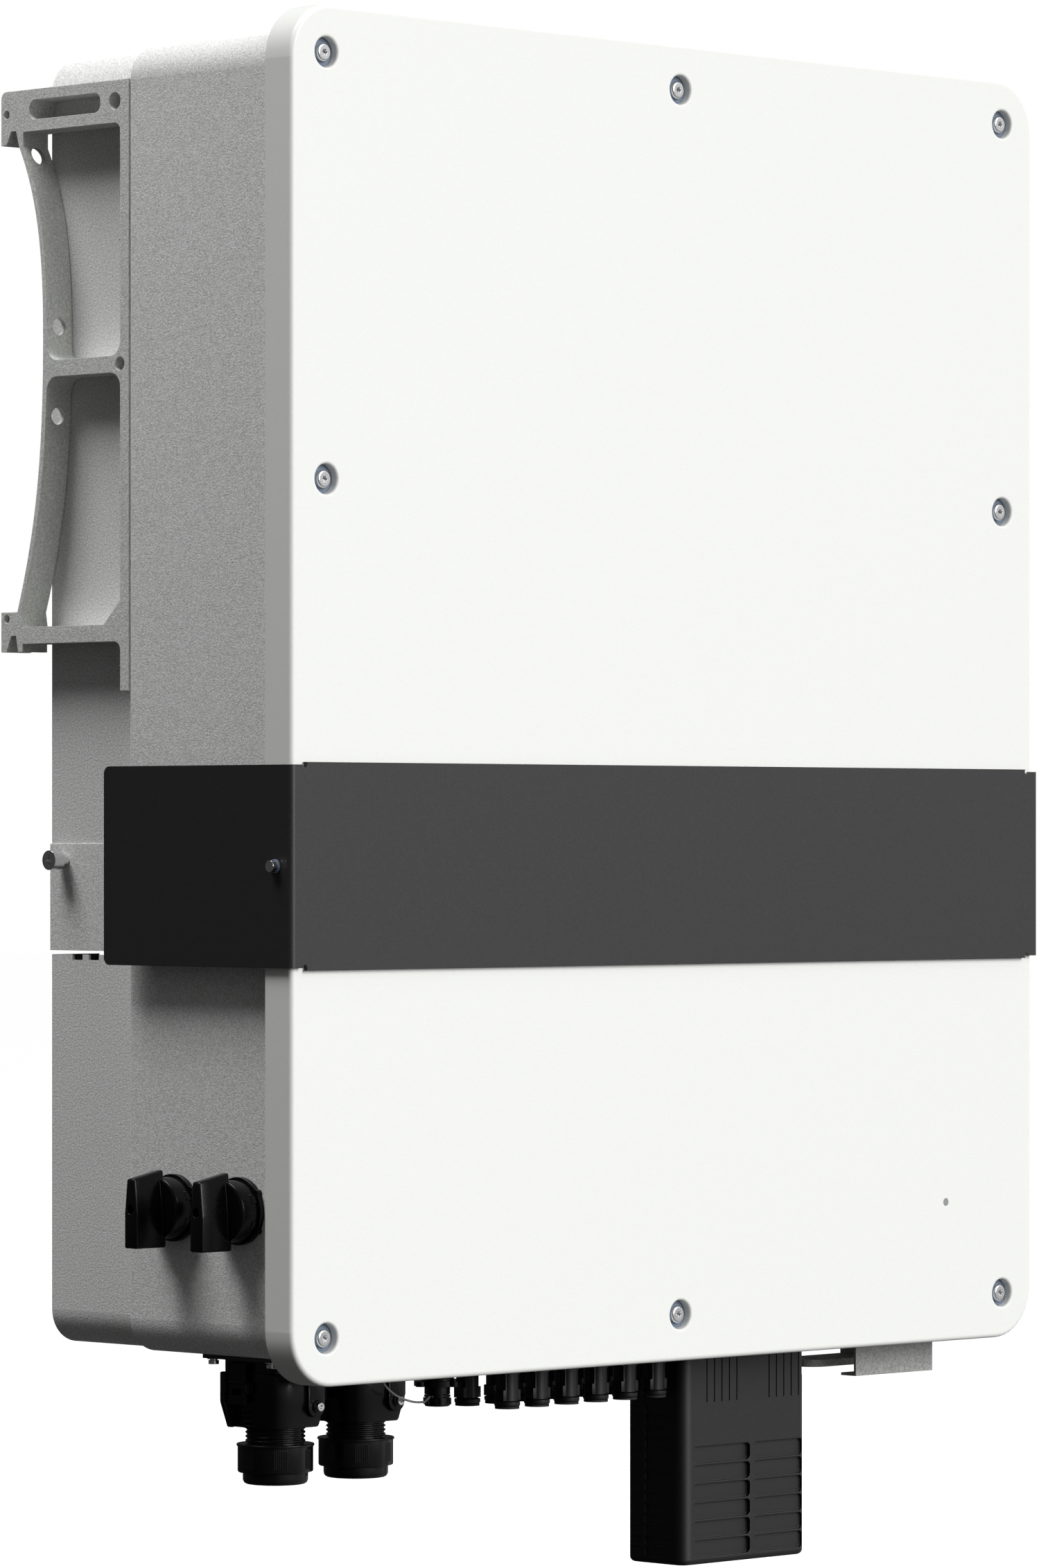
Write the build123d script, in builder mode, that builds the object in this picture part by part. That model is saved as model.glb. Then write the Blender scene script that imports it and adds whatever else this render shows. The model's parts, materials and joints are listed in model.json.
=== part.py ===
"""Wall-hung string inverter: cast housing, front cover with a wrap-round band, rear air duct
with fans, two hanger brackets, two DC switches and the connectors on the underside.

Frame: X across the front (left side is -X), Y depth with the wall at Y = 0 and the front
towards -Y, Z up. The origin is on the wall plane, at the width centre, on the line where the
upper hooks of the hanger brackets sit on the wall rail. Millimetres.
"""
from build123d import *
import math
import os

os.makedirs("parts", exist_ok=True)

# ---------------------------------------------------------------- driving dimensions
# clearances shared by the fits
fit_gap = 0.1          # between fixed pieces that slide together on assembly
running_gap = 0.05     # radial, shaft in its bearing
free_gap = 0.3         # between pieces of different moving bodies

# front cover
cover_width = 577.0
cover_height = 710.0
cover_corner = 29.0
cover_skirt = 19.5         # depth of the rim that hangs over the housing
cover_wall = 3.0
cover_side_wall = 2.5
cover_edge_radius = 2.5
cover_screw_inset = 25.0   # screw axis to the cover's outer edge
cover_middle_screw_from_top = 244.0
cover_boss_radius = 9.5
dimple_radius = 7.9
dimple_depth = 5.5
dimple_lip_radius = 1.4
status_light_radius = 2.15
status_light_from_right = 73.0
status_light_from_bottom = 78.0

# cover screws and their seal washers
screw_head_radius = 4.7
screw_head_height = 3.0
screw_shank_radius = 2.5
screw_length = 16.0
washer_radius = 7.5
washer_thickness = 1.0
star_radius = 1.35
star_lobe_radius = 0.5
star_depth = 1.6

# band round the front
band_height = 106.7
band_leg_height = 104.0
band_from_cover_bottom = 214.0
band_standoff = 2.8        # outer face of the band in front of the cover
band_sheet = 1.2
band_leg_reach = 140.0     # leg length behind the cover's front plane
band_bend_radius = 3.0
band_leg_corner = 4.0
band_flange_inset = 8.0
band_relief_radius = 1.6
band_screw_from_front = 9.0
band_screw_head_radius = 3.0
band_screw_head_height = 3.2
band_screw_shank_radius = 2.0
band_washer_radius = 3.6
band_spacer_side = 16.0
band_spacer_from_back = 22.0

# main housing
housing_inset = 12.0
housing_depth = 130.0
housing_corner = 18.0
housing_wall = 4.0
housing_rim_width = 33.0
housing_rim_thickness = 6.0
housing_back_edge_radius = 2.5
housing_boss_radius = 6.0
housing_boss_length = 12.0
seal_thickness = 4.0
seal_width = 6.0
seal_from_screw = 10.5     # screw axis to the seal's outer edge

# where the hooks hang, and how far the housing stands off the wall
seat_below_cover_top = 50.8
bracket_depth = 101.5

# hanger brackets, slices of one extruded profile
bracket_thickness = 17.6
bracket_top_above_seat = 21.5
bracket_top_corner = 4.0
bracket_flange = 6.7
bracket_flange_drop = 300.0        # seat line to the flange's lower end
web_thickness = 3.2
hook_depth_bottom = 7.2            # upper hook's tip below the seat line
hook_notch_back = 7.9              # wall plane to the notch at its top
hook_notch_front = 11.9
hook_mouth_back = 4.1
hook_mouth_front = 14.5
hook_mouth_below_seat = 8.6
lower_hook_drop = 269.5            # seat line to the lower hook's notch top
lower_hook_top_drop = 256.8
lower_hook_top_reach = 10.1
web_belly_reach = 33.7             # wall plane to the web where it stands furthest out
window_top_drop = 0.9
window_split_top_drop = 123.5
window_split_bottom_drop = 132.4
window_bottom_drop = 264.9
window_small_radius = 4.5
window_large_radius = 8.0
bottom_bar = 9.0
bottom_bar_corner = 5.0
gusset_side = 13.0
top_slot_front = 79.2
top_slot_back = 22.5
top_slot_low = 5.3
top_slot_high = 15.7
port_radius = 2.3
port_from_wall = 4.4
port_above_seat = 9.1              # the same above the lower hook's notch
top_bore_radius = 4.6
top_bore_from_front = 11.0
middle_bore_radius = 3.65
middle_bore_from_front = 7.0
web_bore_radius = 4.6
web_bore_drops = (13.3, 105.2, 152.7)
bracket_bolt_drops = (62.0, 195.0, 287.0)
bracket_bolt_radius = 3.0
bracket_bolt_head_radius = 5.0
bracket_bolt_head_height = 5.0
bracket_bolt_length = 16.0

# rear air duct
duct_inset = 18.0          # housing side to duct side
duct_from_wall = 19.6      # wall plane to the duct's back face
duct_corner = 18.0         # seen from behind
duct_edge_radius = 1.5
duct_sheet = 1.5
strap_below_brackets = 80.4    # brackets' lower ends to the strap's top
strap_gap = 2.1
strap_height = 56.9
strap_sheet = 0.7
vent_pitch = 13.0
vent_width = 8.0
vent_depth = 3.0
vent_margin = 27.0         # corner left whole at each end of a row
outlet_slot_pitch = 9.0
outlet_slot_width = 4.0
outlet_slot_length = 52.0
thumb_screw_radius = 5.25
thumb_screw_reach = 11.4
thumb_screw_shank_radius = 2.5
thumb_screw_from_back = 12.0
thumb_screw_below_strap_top = 8.8

# heat sink
sink_base = 8.0
sink_width = 470.0
sink_fin_height = 60.0
sink_fin_thickness = 2.2
sink_fin_pitch = 11.5
sink_bottom_gap = 118.0    # housing bottom to the fins' lower ends
sink_top_gap = 30.0

# fans
fan_count = 3
fan_pitch = 150.0
fan_side = 70.0
fan_height = 25.0
fan_bore_radius = 33.0
fan_hub_radius = 15.0
fan_blade_tip = 30.5
fan_blade_count = 7
fan_blade_thickness = 1.6
fan_blade_length = 15.0
fan_blade_pitch_angle = 35.0
fan_shaft_radius = 2.0
fan_bush_radius = 4.5
fan_spoke_width = 3.0
fan_spoke_thickness = 3.0
fan_tray_above_bottom = 46.0
fan_tray_thickness = 1.5
grille_ring_pitch = 7.0
grille_ring_width = 1.6

# DC switches on the left side
switch_from_bottom = 77.1
switch_from_back = (36.5, 86.6)
switch_base_radius = 17.6
switch_base_thickness = 3.0
switch_dial_radius = 16.15
switch_dial_thickness = 10.5
switch_dial_bevel = 1.2
handle_length = 40.5
handle_reach = 18.0
handle_top_width = 5.0
handle_bottom_width = 9.6
handle_tip_drop = 4.4
handle_corner = 1.2
handle_hole_radius = 2.5
switch_shaft_radius = 4.0
switch_shaft_length = 34.0
switch_box_side = 46.0
switch_box_length = 60.0
switch_box_from_wall = 6.0

# AC connectors
ac_from_left = (44.5, 102.8)
ac_from_back = 65.1
ac_width = 39.0
ac_depth = 40.0
ac_small_corner = 4.0
ac_large_corner = 16.0
port_plate_thickness = 2.0
port_plate_from_left = 16.0
port_plate_width = 120.0
port_plate_depth = 54.0
port_plate_corner = 3.0
receptacle_flange = 6.7
receptacle_insert_radius = 14.5
receptacle_insert_height = 16.0
receptacle_nose_radius = 12.8
receptacle_nose_depth = 12.0
contact_radius = 1.5
contact_circle = 7.0
contact_count = 5
shell_straight = 15.3
shell_taper = 14.0
thread_radius = 15.75
thread_depth = 0.85
shell_bore_wall = 1.3      # bore to the foot of the thread
thread_pitch = 2.2
thread_length = 22.0
rib_count = 4
rib_pitch = 2.6
rib_gap = 1.3
rib_depth = 1.6
nut_gap_under_shell = 8.6
nut_height = 15.2
nut_wall = 4.05            # thread's crest to the nut's corners
nut_facets = 12
nut_rim_overhang = 0.6
nut_rim_thickness = 1.3
nut_dome_inset = 2.7       # nut's corners to the dome's side
nut_dome_height = 6.0
nut_dome_edge = 2.5
cable_bore_radius = 9.0
nut_mouth_radius = 11.0
gland_seal_height = 12.0
nut_cavity_below_facets = 1.0
ear_width = 11.6
ear_offset = 9.0
ear_thickness = 2.0
ear_drop = 24.0
ear_screw_radius = 2.45
ear_collar_radius = 3.15
ear_screw_reach = 3.4
latch_width = 13.4
latch_offset = 5.3
latch_thickness = 1.8
latch_gap = 1.9
latch_above_pivot = 10.0
latch_below_pivot = 11.5
latch_pivot_drop = 14.0      # housing bottom to the pivot
latch_pin_radius = 0.8
latch_barrel_radius = 1.5
latch_ear_thickness = 1.6
latch_ear_height = 6.0
latch_ear_wall = 1.1       # left of the pin hole
latch_window = (7.4, 3.6)
latch_tooth = 1.0
latch_tooth_height = 2.0

plate_screw_inset = 5.0
plate_screw_radius = 2.0
plate_screw_head_radius = 2.8
plate_screw_head_height = 3.2

# communication port with its tethered cap
com_from_left = 163.2
com_from_back = 65.1
com_neck_radius = 9.0
com_neck_drop = 20.0
com_flange_radius = 12.5
com_flange_thickness = 3.0
com_tab_radius = 2.6
com_tab_count = 4
com_barrel_radius = 6.9
com_barrel_height = 4.4
com_bore_radius = 5.0
com_insert_radius = 8.0
com_insert_height = 14.0
cap_neck_radius = 5.4
cap_neck_height = 1.6
cap_height = 4.6
cap_grip_count = 6
cap_grip_radius = 0.9
tether_ring_width = 1.7
tether_ring_thickness = 0.9
tether_radius = 0.6
anchor_radius = 3.4
anchor_thickness = 2.0
anchor_from_left = 88.5
anchor_from_back = 97.0

# photovoltaic sockets
pv_columns = 6
pv_pitch = 22.7
pv_from_left = 192.8
pv_front_from_back = 88.3
pv_rear_from_back = 58.1
pv_body_width = 13.3
pv_body_depth = 7.6
pv_body_drop = 31.8
pv_barrel_radius = 7.0
pv_barrel_height = 2.6
pv_bore_radius = 5.0
pv_bore_depth = 24.0
pv_neck_radius = 6.0
pv_neck_height = 15.0
pv_collar_radius = 8.4
pv_collar_thickness = 3.0
pv_nut_across_flats = 16.0
pv_nut_height = 5.0
pv_notch_width = 1.2
pv_notch_height = 9.0
pv_notch_from_bottom = 7.5
pv_groove_width = 0.8
pv_groove_depth = 0.6
pv_groove_spacing = 3.6
pv_contact_radius = 1.6
pv_plug_rim_radius = 6.6
pv_plug_rim_height = 1.2
pv_plug_length = 14.0

# battery terminal cover
battery_from_left = 320.0
battery_from_back = 97.1       # housing back to the cover's front face
battery_width = 100.7
battery_depth = 44.0
battery_drop = 128.8
battery_wall = 4.5
battery_corner = 7.0
battery_bottom_radius = 3.0
battery_pocket_depth = 2.4
battery_pocket_rows = 6
battery_pocket_pitch = 10.3
battery_pocket_height = 9.2
battery_pocket_from_left = 8.6
battery_pocket_widths = (45.4, 40.2)
battery_pocket_between = 2.9
battery_pocket_from_bottom = 3.6
battery_pocket_corner = 2.4
battery_groove_count = 5
battery_groove_pitch = 6.0
battery_groove_width = 0.8
battery_groove_depth = 0.8
battery_groove_drop = 40.0
battery_groove_from_left = (19.4, 69.5)
battery_side_rows = 14
battery_side_pitch = 5.95
battery_side_height = 5.0
battery_side_widths = (22.0, 13.0)
battery_side_depth = 1.0
battery_side_from_front = 6.5
battery_side_between = 2.2
battery_side_corner = 1.2
battery_notch_width = 7.0
battery_notch_depth = 3.0
battery_notch_drop = 29.0
battery_terminal_spacing = 46.0
battery_terminal_radius = 10.0
battery_terminal_drop = 46.0
battery_stud_radius = 5.0
battery_stud_length = 14.0
battery_grommet_radius = 9.0

# lower bracket
foot_from_right = 27.4
foot_from_back = 97.1
foot_width = 64.6
foot_drop = 32.0
foot_flange = 12.0
foot_sheet = 1.5
foot_screw_radius = 2.5
foot_screw_head_radius = 4.5
foot_screw_head_height = 3.0
tongue_width = 30.0
tongue_length = 58.0
tongue_thickness = 4.0
tongue_drop = 24.0
tongue_slot_radius = 6.0
tongue_from_back = 58.0
tongue_overlap = 16.0

# pieces inside the housing
board_thickness = 2.0
board_margin = 60.0
board_standoff_height = 10.0
board_standoff_radius = 4.0
control_board_width = 300.0
control_board_height = 180.0
control_board_from_top = 70.0
control_board_lift = 62.0
choke_side = 92.0
choke_height = 58.0
choke_pitch = 104.0
capacitor_radius = 17.0
capacitor_height = 45.0
capacitor_pitch = 38.0

# ---------------------------------------------------------------- derived places
cover_top_z = seat_below_cover_top
cover_bottom_z = cover_top_z - cover_height
cover_mid_z = (cover_top_z + cover_bottom_z) / 2
housing_width = cover_width - 2 * housing_inset
housing_height = cover_height - 2 * housing_inset
housing_left_x = -housing_width / 2
housing_right_x = housing_width / 2
housing_bottom_z = cover_bottom_z + housing_inset
housing_top_z = cover_top_z - housing_inset
housing_back_y = -bracket_depth
housing_front_y = housing_back_y - housing_depth
cover_inner_y = housing_front_y - seal_thickness
cover_front_y = cover_inner_y - cover_wall
cover_back_y = cover_front_y + cover_skirt
dimple_floor_y = cover_front_y + dimple_depth
screw_seat_y = dimple_floor_y - washer_thickness
duct_back_y = -duct_from_wall
duct_half_width = housing_width / 2 - duct_inset
duct_depth = duct_back_y - housing_back_y
strap_top_z = -bracket_flange_drop - strap_below_brackets
strap_bottom_z = strap_top_z - strap_height
lower_cover_top_z = strap_bottom_z - strap_gap


def front_plane(y):
    """Plane seen from the front: its x is +X, its y is +Z, and it faces -Y."""
    return Plane.XZ.offset(-y)


def side_plane(x):
    """Plane seen from the right: its x is +Y, its y is +Z, and it faces +X."""
    return Plane.YZ.offset(x)


def discs(plane, radius, height, spots=((0, 0),), mode=Mode.ADD):
    """Cylinders of one size on a plane, at the given spots."""
    with BuildSketch(plane) as faces:
        with Locations(*spots):
            Circle(radius)
    extrude(faces.sketch, amount=height, mode=mode)


def rings(plane, outer, inner, height, spots=((0, 0),), mode=Mode.ADD):
    """Flat rings of one size on a plane, at the given spots."""
    with BuildSketch(plane) as faces:
        with Locations(*spots):
            Circle(outer)
            Circle(inner, mode=Mode.SUBTRACT)
    extrude(faces.sketch, amount=height, mode=mode)


def plates(plane, width, height, thickness, spots=((0, 0),), corner=0.0, mode=Mode.ADD):
    """Rectangles of one size on a plane, at the given spots, with round corners if asked."""
    with BuildSketch(plane) as faces:
        with Locations(*spots):
            if corner > 0:
                RectangleRounded(width, height, corner)
            else:
                Rectangle(width, height)
    extrude(faces.sketch, amount=thickness, mode=mode)


def write(piece, name):
    """Label a finished piece and write its STEP file."""
    piece.part.label = name
    export_step(piece.part, f"parts/{name}.step")


# ---------------------------------------------------------------- front cover and its screws
screw_half_x = cover_width / 2 - cover_screw_inset
screw_top_z = cover_top_z - cover_screw_inset
screw_bottom_z = cover_bottom_z + cover_screw_inset
screw_middle_z = cover_top_z - cover_middle_screw_from_top
cover_screw_spots = [(x, z) for x in (-screw_half_x, 0, screw_half_x) for z in (screw_top_z, screw_bottom_z)]
cover_screw_spots += [(-screw_half_x, screw_middle_z), (screw_half_x, screw_middle_z)]
status_light_spot = (cover_width / 2 - status_light_from_right, cover_bottom_z + status_light_from_bottom)
band_mid_z = cover_bottom_z + band_from_cover_bottom + band_height / 2
band_screw_spot = (cover_front_y + band_screw_from_front, band_mid_z)

with BuildPart() as front_cover:
    cover_middle = [(0, cover_mid_z)]
    plates(front_plane(cover_back_y), cover_width, cover_height, cover_skirt, cover_middle, cover_corner)
    fillet(front_cover.faces().sort_by(Axis.Y)[0].edges(), cover_edge_radius)
    plates(
        front_plane(cover_back_y),
        cover_width - 2 * cover_side_wall,
        cover_height - 2 * cover_side_wall,
        cover_skirt - cover_wall,
        cover_middle,
        cover_corner - cover_side_wall,
        Mode.SUBTRACT,
    )
    discs(front_plane(housing_front_y), cover_boss_radius, seal_thickness, cover_screw_spots)
    discs(front_plane(dimple_floor_y), dimple_radius, dimple_depth, cover_screw_spots, Mode.SUBTRACT)
    dimple_mouths = front_cover.edges().filter_by(
        lambda edge: edge.geom_type == GeomType.CIRCLE
        and abs(edge.radius - dimple_radius) < 0.01
        and abs(edge.center().Y - cover_front_y) < 0.01
    )
    fillet(dimple_mouths, dimple_lip_radius)
    discs(
        front_plane(housing_front_y), screw_shank_radius + fit_gap, seal_thickness + cover_wall,
        cover_screw_spots, Mode.SUBTRACT,
    )
    discs(front_plane(cover_inner_y), status_light_radius, cover_wall, [status_light_spot], Mode.SUBTRACT)
    discs(
        side_plane(-cover_width / 2), band_screw_shank_radius + fit_gap, cover_width, [band_screw_spot],
        Mode.SUBTRACT,
    )
write(front_cover, "front_cover")

with BuildPart() as cover_screws:
    discs(front_plane(screw_seat_y), screw_head_radius, screw_head_height, cover_screw_spots)
    fillet(cover_screws.edges().group_by(Axis.Y)[0], 1.2)
    discs(front_plane(screw_seat_y + screw_length), screw_shank_radius, screw_length, cover_screw_spots)
    star_spots = [
        (x + star_radius * math.cos(turn), z + star_radius * math.sin(turn))
        for x, z in cover_screw_spots
        for turn in [math.radians(60 * lobe) for lobe in range(6)]
    ]
    star_floor = front_plane(screw_seat_y - screw_head_height + star_depth)
    discs(star_floor, star_radius, star_depth, cover_screw_spots, Mode.SUBTRACT)
    discs(star_floor, star_lobe_radius, star_depth, star_spots, Mode.SUBTRACT)
write(cover_screws, "cover_screws")

with BuildPart() as status_light:
    discs(front_plane(cover_inner_y + 2), status_light_radius - fit_gap, cover_wall + 2, [status_light_spot])
    discs(front_plane(cover_inner_y + 2), status_light_radius + 1.2, 2, [status_light_spot])
write(status_light, "status_light")

seal_inset = cover_screw_inset + seal_from_screw
with BuildPart() as cover_seal:
    plates(
        front_plane(housing_front_y), cover_width - 2 * seal_inset, cover_height - 2 * seal_inset,
        seal_thickness, [(0, cover_mid_z)], cover_corner / 2,
    )
    plates(
        front_plane(housing_front_y),
        cover_width - 2 * (seal_inset + seal_width),
        cover_height - 2 * (seal_inset + seal_width),
        seal_thickness, [(0, cover_mid_z)], cover_corner / 4, Mode.SUBTRACT,
    )
write(cover_seal, "cover_seal")

# ---------------------------------------------------------------- band round the front
band_front_y = cover_front_y - band_standoff
band_half_width = cover_width / 2 + band_standoff
band_leg_end_y = cover_front_y + band_leg_reach
band_flat_half = cover_width / 2 - band_flange_inset
band_flange_depth = band_standoff - free_gap

with BuildPart() as trim_band:
    leg_plane = Plane.XY.offset(band_mid_z - band_leg_height / 2)
    with BuildSketch(leg_plane) as band_outline:
        with Locations((0, (band_front_y + band_leg_end_y) / 2)):
            Rectangle(2 * band_half_width, band_leg_end_y - band_front_y)
        fillet(band_outline.vertices().group_by(Axis.Y)[0], band_bend_radius)
    extrude(band_outline.sketch, amount=band_leg_height)
    with BuildSketch(leg_plane) as band_hollow:
        with Locations((0, (band_front_y + band_sheet + band_leg_end_y) / 2)):
            Rectangle(2 * (band_half_width - band_sheet), band_leg_end_y - band_front_y - band_sheet)
        fillet(band_hollow.vertices().group_by(Axis.Y)[0], band_bend_radius - band_sheet)
    extrude(band_hollow.sketch, amount=band_leg_height, mode=Mode.SUBTRACT)
    leg_ends = trim_band.edges().filter_by(Axis.X).group_by(Axis.Y)[-1]
    fillet(leg_ends, band_leg_corner)
    plates(
        front_plane(band_front_y + band_sheet), 2 * band_flat_half, band_height, band_sheet,
        [(0, band_mid_z)],
    )
    flange_offset = (band_height - band_sheet) / 2
    plates(
        front_plane(band_front_y + band_flange_depth), 2 * band_flat_half, band_sheet, band_flange_depth,
        [(0, band_mid_z - flange_offset), (0, band_mid_z + flange_offset)],
    )
    relief_spots = [
        (side * (band_flat_half + band_relief_radius / 2), band_mid_z + level * band_leg_height / 2)
        for side in (-1, 1) for level in (-1, 1)
    ]
    discs(
        front_plane(band_front_y + band_flange_depth), band_relief_radius, band_flange_depth, relief_spots,
        Mode.SUBTRACT,
    )
    discs(
        side_plane(-band_half_width), band_screw_shank_radius + fit_gap, 2 * band_half_width,
        [band_screw_spot], Mode.SUBTRACT,
    )
write(trim_band, "trim_band")


def at_both_sides(x, radius, height, spot):
    """The same cylinder on the left and the right side, reaching outwards from |X| = x."""
    discs(side_plane(x), radius, height, [spot])
    discs(side_plane(-x), radius, -height, [spot])


with BuildPart() as band_screws:
    washer_top = band_half_width + washer_thickness
    at_both_sides(washer_top, band_screw_head_radius, band_screw_head_height, band_screw_spot)
    at_both_sides(cover_width / 2 - 8, band_screw_shank_radius, 9 + band_standoff, band_screw_spot)
write(band_screws, "band_screws")

with BuildPart() as seal_washers:
    rings(
        front_plane(dimple_floor_y), washer_radius, screw_shank_radius + fit_gap, washer_thickness,
        cover_screw_spots,
    )
    for side in (-1, 1):
        rings(
            side_plane(side * band_half_width), band_washer_radius, band_screw_shank_radius + fit_gap,
            side * washer_thickness, [band_screw_spot],
        )
write(seal_washers, "seal_washers")

with BuildPart() as band_spacers:
    spacer_y = housing_back_y - band_spacer_from_back
    spacer_length = band_half_width - band_sheet - housing_width / 2
    for side in (-1, 1):
        plates(
            side_plane(side * housing_width / 2), band_spacer_side, band_spacer_side, side * spacer_length,
            [(spacer_y, band_mid_z - band_leg_height / 3), (spacer_y, band_mid_z + band_leg_height / 3)], 3,
        )
write(band_spacers, "band_spacers")

# ---------------------------------------------------------------- places on the underside and the left side
thread_core_radius = thread_radius - thread_depth
shell_bore_radius = thread_core_radius - shell_bore_wall
nut_radius = thread_radius + nut_wall
nut_rim_radius = nut_radius + nut_rim_overhang
nut_dome_radius = nut_radius - nut_dome_inset
ac_spots = [(housing_left_x + x, housing_back_y - ac_from_back) for x in ac_from_left]
com_spot = (housing_left_x + com_from_left, housing_back_y - com_from_back)
pv_xs = [housing_left_x + pv_from_left + column * pv_pitch for column in range(pv_columns)]
pv_front_spots = [(x, housing_back_y - pv_front_from_back) for x in pv_xs]
pv_rear_spots = [(x, housing_back_y - pv_rear_from_back) for x in pv_xs]
pv_spots = pv_front_spots + pv_rear_spots
plate_x = housing_left_x + port_plate_from_left + port_plate_width / 2
plate_y = housing_back_y - ac_from_back
plate_screw_half_x = port_plate_width / 2 - plate_screw_inset
plate_screw_half_y = port_plate_depth / 2 - plate_screw_inset
plate_screw_spots = [
    (plate_x + x * plate_screw_half_x, plate_y + y * plate_screw_half_y) for x in (-1, 1) for y in (-1, 1)
]
anchor_spot = (housing_left_x + anchor_from_left, housing_back_y - anchor_from_back)
battery_x = housing_left_x + battery_from_left + battery_width / 2
battery_y = housing_back_y - battery_from_back + battery_depth / 2
battery_terminal_spots = [(battery_x + side * battery_terminal_spacing / 2, battery_y) for side in (-1, 1)]
switch_spots = [(housing_back_y - y, housing_bottom_z + switch_from_bottom) for y in switch_from_back]
foot_x = housing_right_x - foot_from_right - foot_width / 2
foot_front_y = housing_back_y - foot_from_back
foot_screw_spots = [(foot_x + side * foot_width / 4, foot_front_y + foot_flange / 2 + 1) for side in (-1, 1)]
tongue_right_x = foot_x + foot_width / 2
tongue_y = housing_back_y - tongue_from_back
tongue_screw_spots = [(tongue_right_x - 9, tongue_y + side * tongue_width / 4) for side in (-1, 1)]
bracket_mid_x = housing_left_x + bracket_thickness / 2
bracket_bolt_spots = [(side * bracket_mid_x, -drop) for side in (-1, 1) for drop in bracket_bolt_drops]

with BuildPart() as main_housing:
    middle = [(0, cover_mid_z)]
    plates(front_plane(housing_back_y), housing_width, housing_height, housing_depth, middle, housing_corner)
    fillet(main_housing.faces().sort_by(Axis.Y)[-1].edges(), housing_back_edge_radius)
    plates(
        front_plane(housing_back_y - housing_wall),
        housing_width - 2 * housing_wall,
        housing_height - 2 * housing_wall,
        housing_depth - housing_wall - housing_rim_thickness,
        middle, housing_corner - housing_wall, Mode.SUBTRACT,
    )
    plates(
        front_plane(housing_front_y + housing_rim_thickness),
        housing_width - 2 * housing_rim_width,
        housing_height - 2 * housing_rim_width,
        housing_rim_thickness, middle, housing_corner / 2, Mode.SUBTRACT,
    )
    boss_back_y = housing_front_y + housing_boss_length
    boss_height = housing_boss_length - housing_rim_thickness
    discs(front_plane(boss_back_y), housing_boss_radius, boss_height, cover_screw_spots)
    screw_tip_depth = screw_seat_y + screw_length - housing_front_y + 1
    discs(
        front_plane(housing_front_y + screw_tip_depth), screw_shank_radius + fit_gap, screw_tip_depth,
        cover_screw_spots, Mode.SUBTRACT,
    )
    floor_plane = Plane.XY.offset(housing_bottom_z)
    discs(floor_plane, receptacle_insert_radius + fit_gap, housing_wall, ac_spots, Mode.SUBTRACT)
    discs(floor_plane, com_insert_radius + fit_gap, housing_wall, [com_spot], Mode.SUBTRACT)
    discs(floor_plane, pv_neck_radius + fit_gap, housing_wall, pv_spots, Mode.SUBTRACT)
    discs(floor_plane, battery_stud_radius + fit_gap, housing_wall, battery_terminal_spots, Mode.SUBTRACT)
    discs(floor_plane, plate_screw_radius + fit_gap, 2 * housing_wall, plate_screw_spots, Mode.SUBTRACT)
    discs(
        floor_plane, foot_screw_radius + fit_gap, housing_wall, foot_screw_spots + tongue_screw_spots,
        Mode.SUBTRACT,
    )
    discs(
        side_plane(housing_left_x), switch_shaft_radius + free_gap, housing_wall, switch_spots, Mode.SUBTRACT,
    )
    discs(
        front_plane(housing_back_y), bracket_bolt_radius + fit_gap, housing_wall, bracket_bolt_spots,
        Mode.SUBTRACT,
    )
write(main_housing, "main_housing")

# ---------------------------------------------------------------- hanger brackets
# The profile is drawn in the plane seen from the right, so a distance from the wall is a negative y.
web_outer = [
    (-hook_mouth_front, -hook_mouth_below_seat),
    (-(web_belly_reach - 9.1), -(hook_mouth_below_seat + 24.2)),
    (-web_belly_reach, -(window_split_top_drop - 8)),
    (-(web_belly_reach - 6.0), -(window_bottom_drop - 66)),
    (-(lower_hook_top_reach + 2.8), -lower_hook_top_drop),
]
lower_mouth_z = -(lower_hook_drop + hook_mouth_below_seat)
bar_bottom_z = -(window_bottom_drop + bottom_bar)


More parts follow.
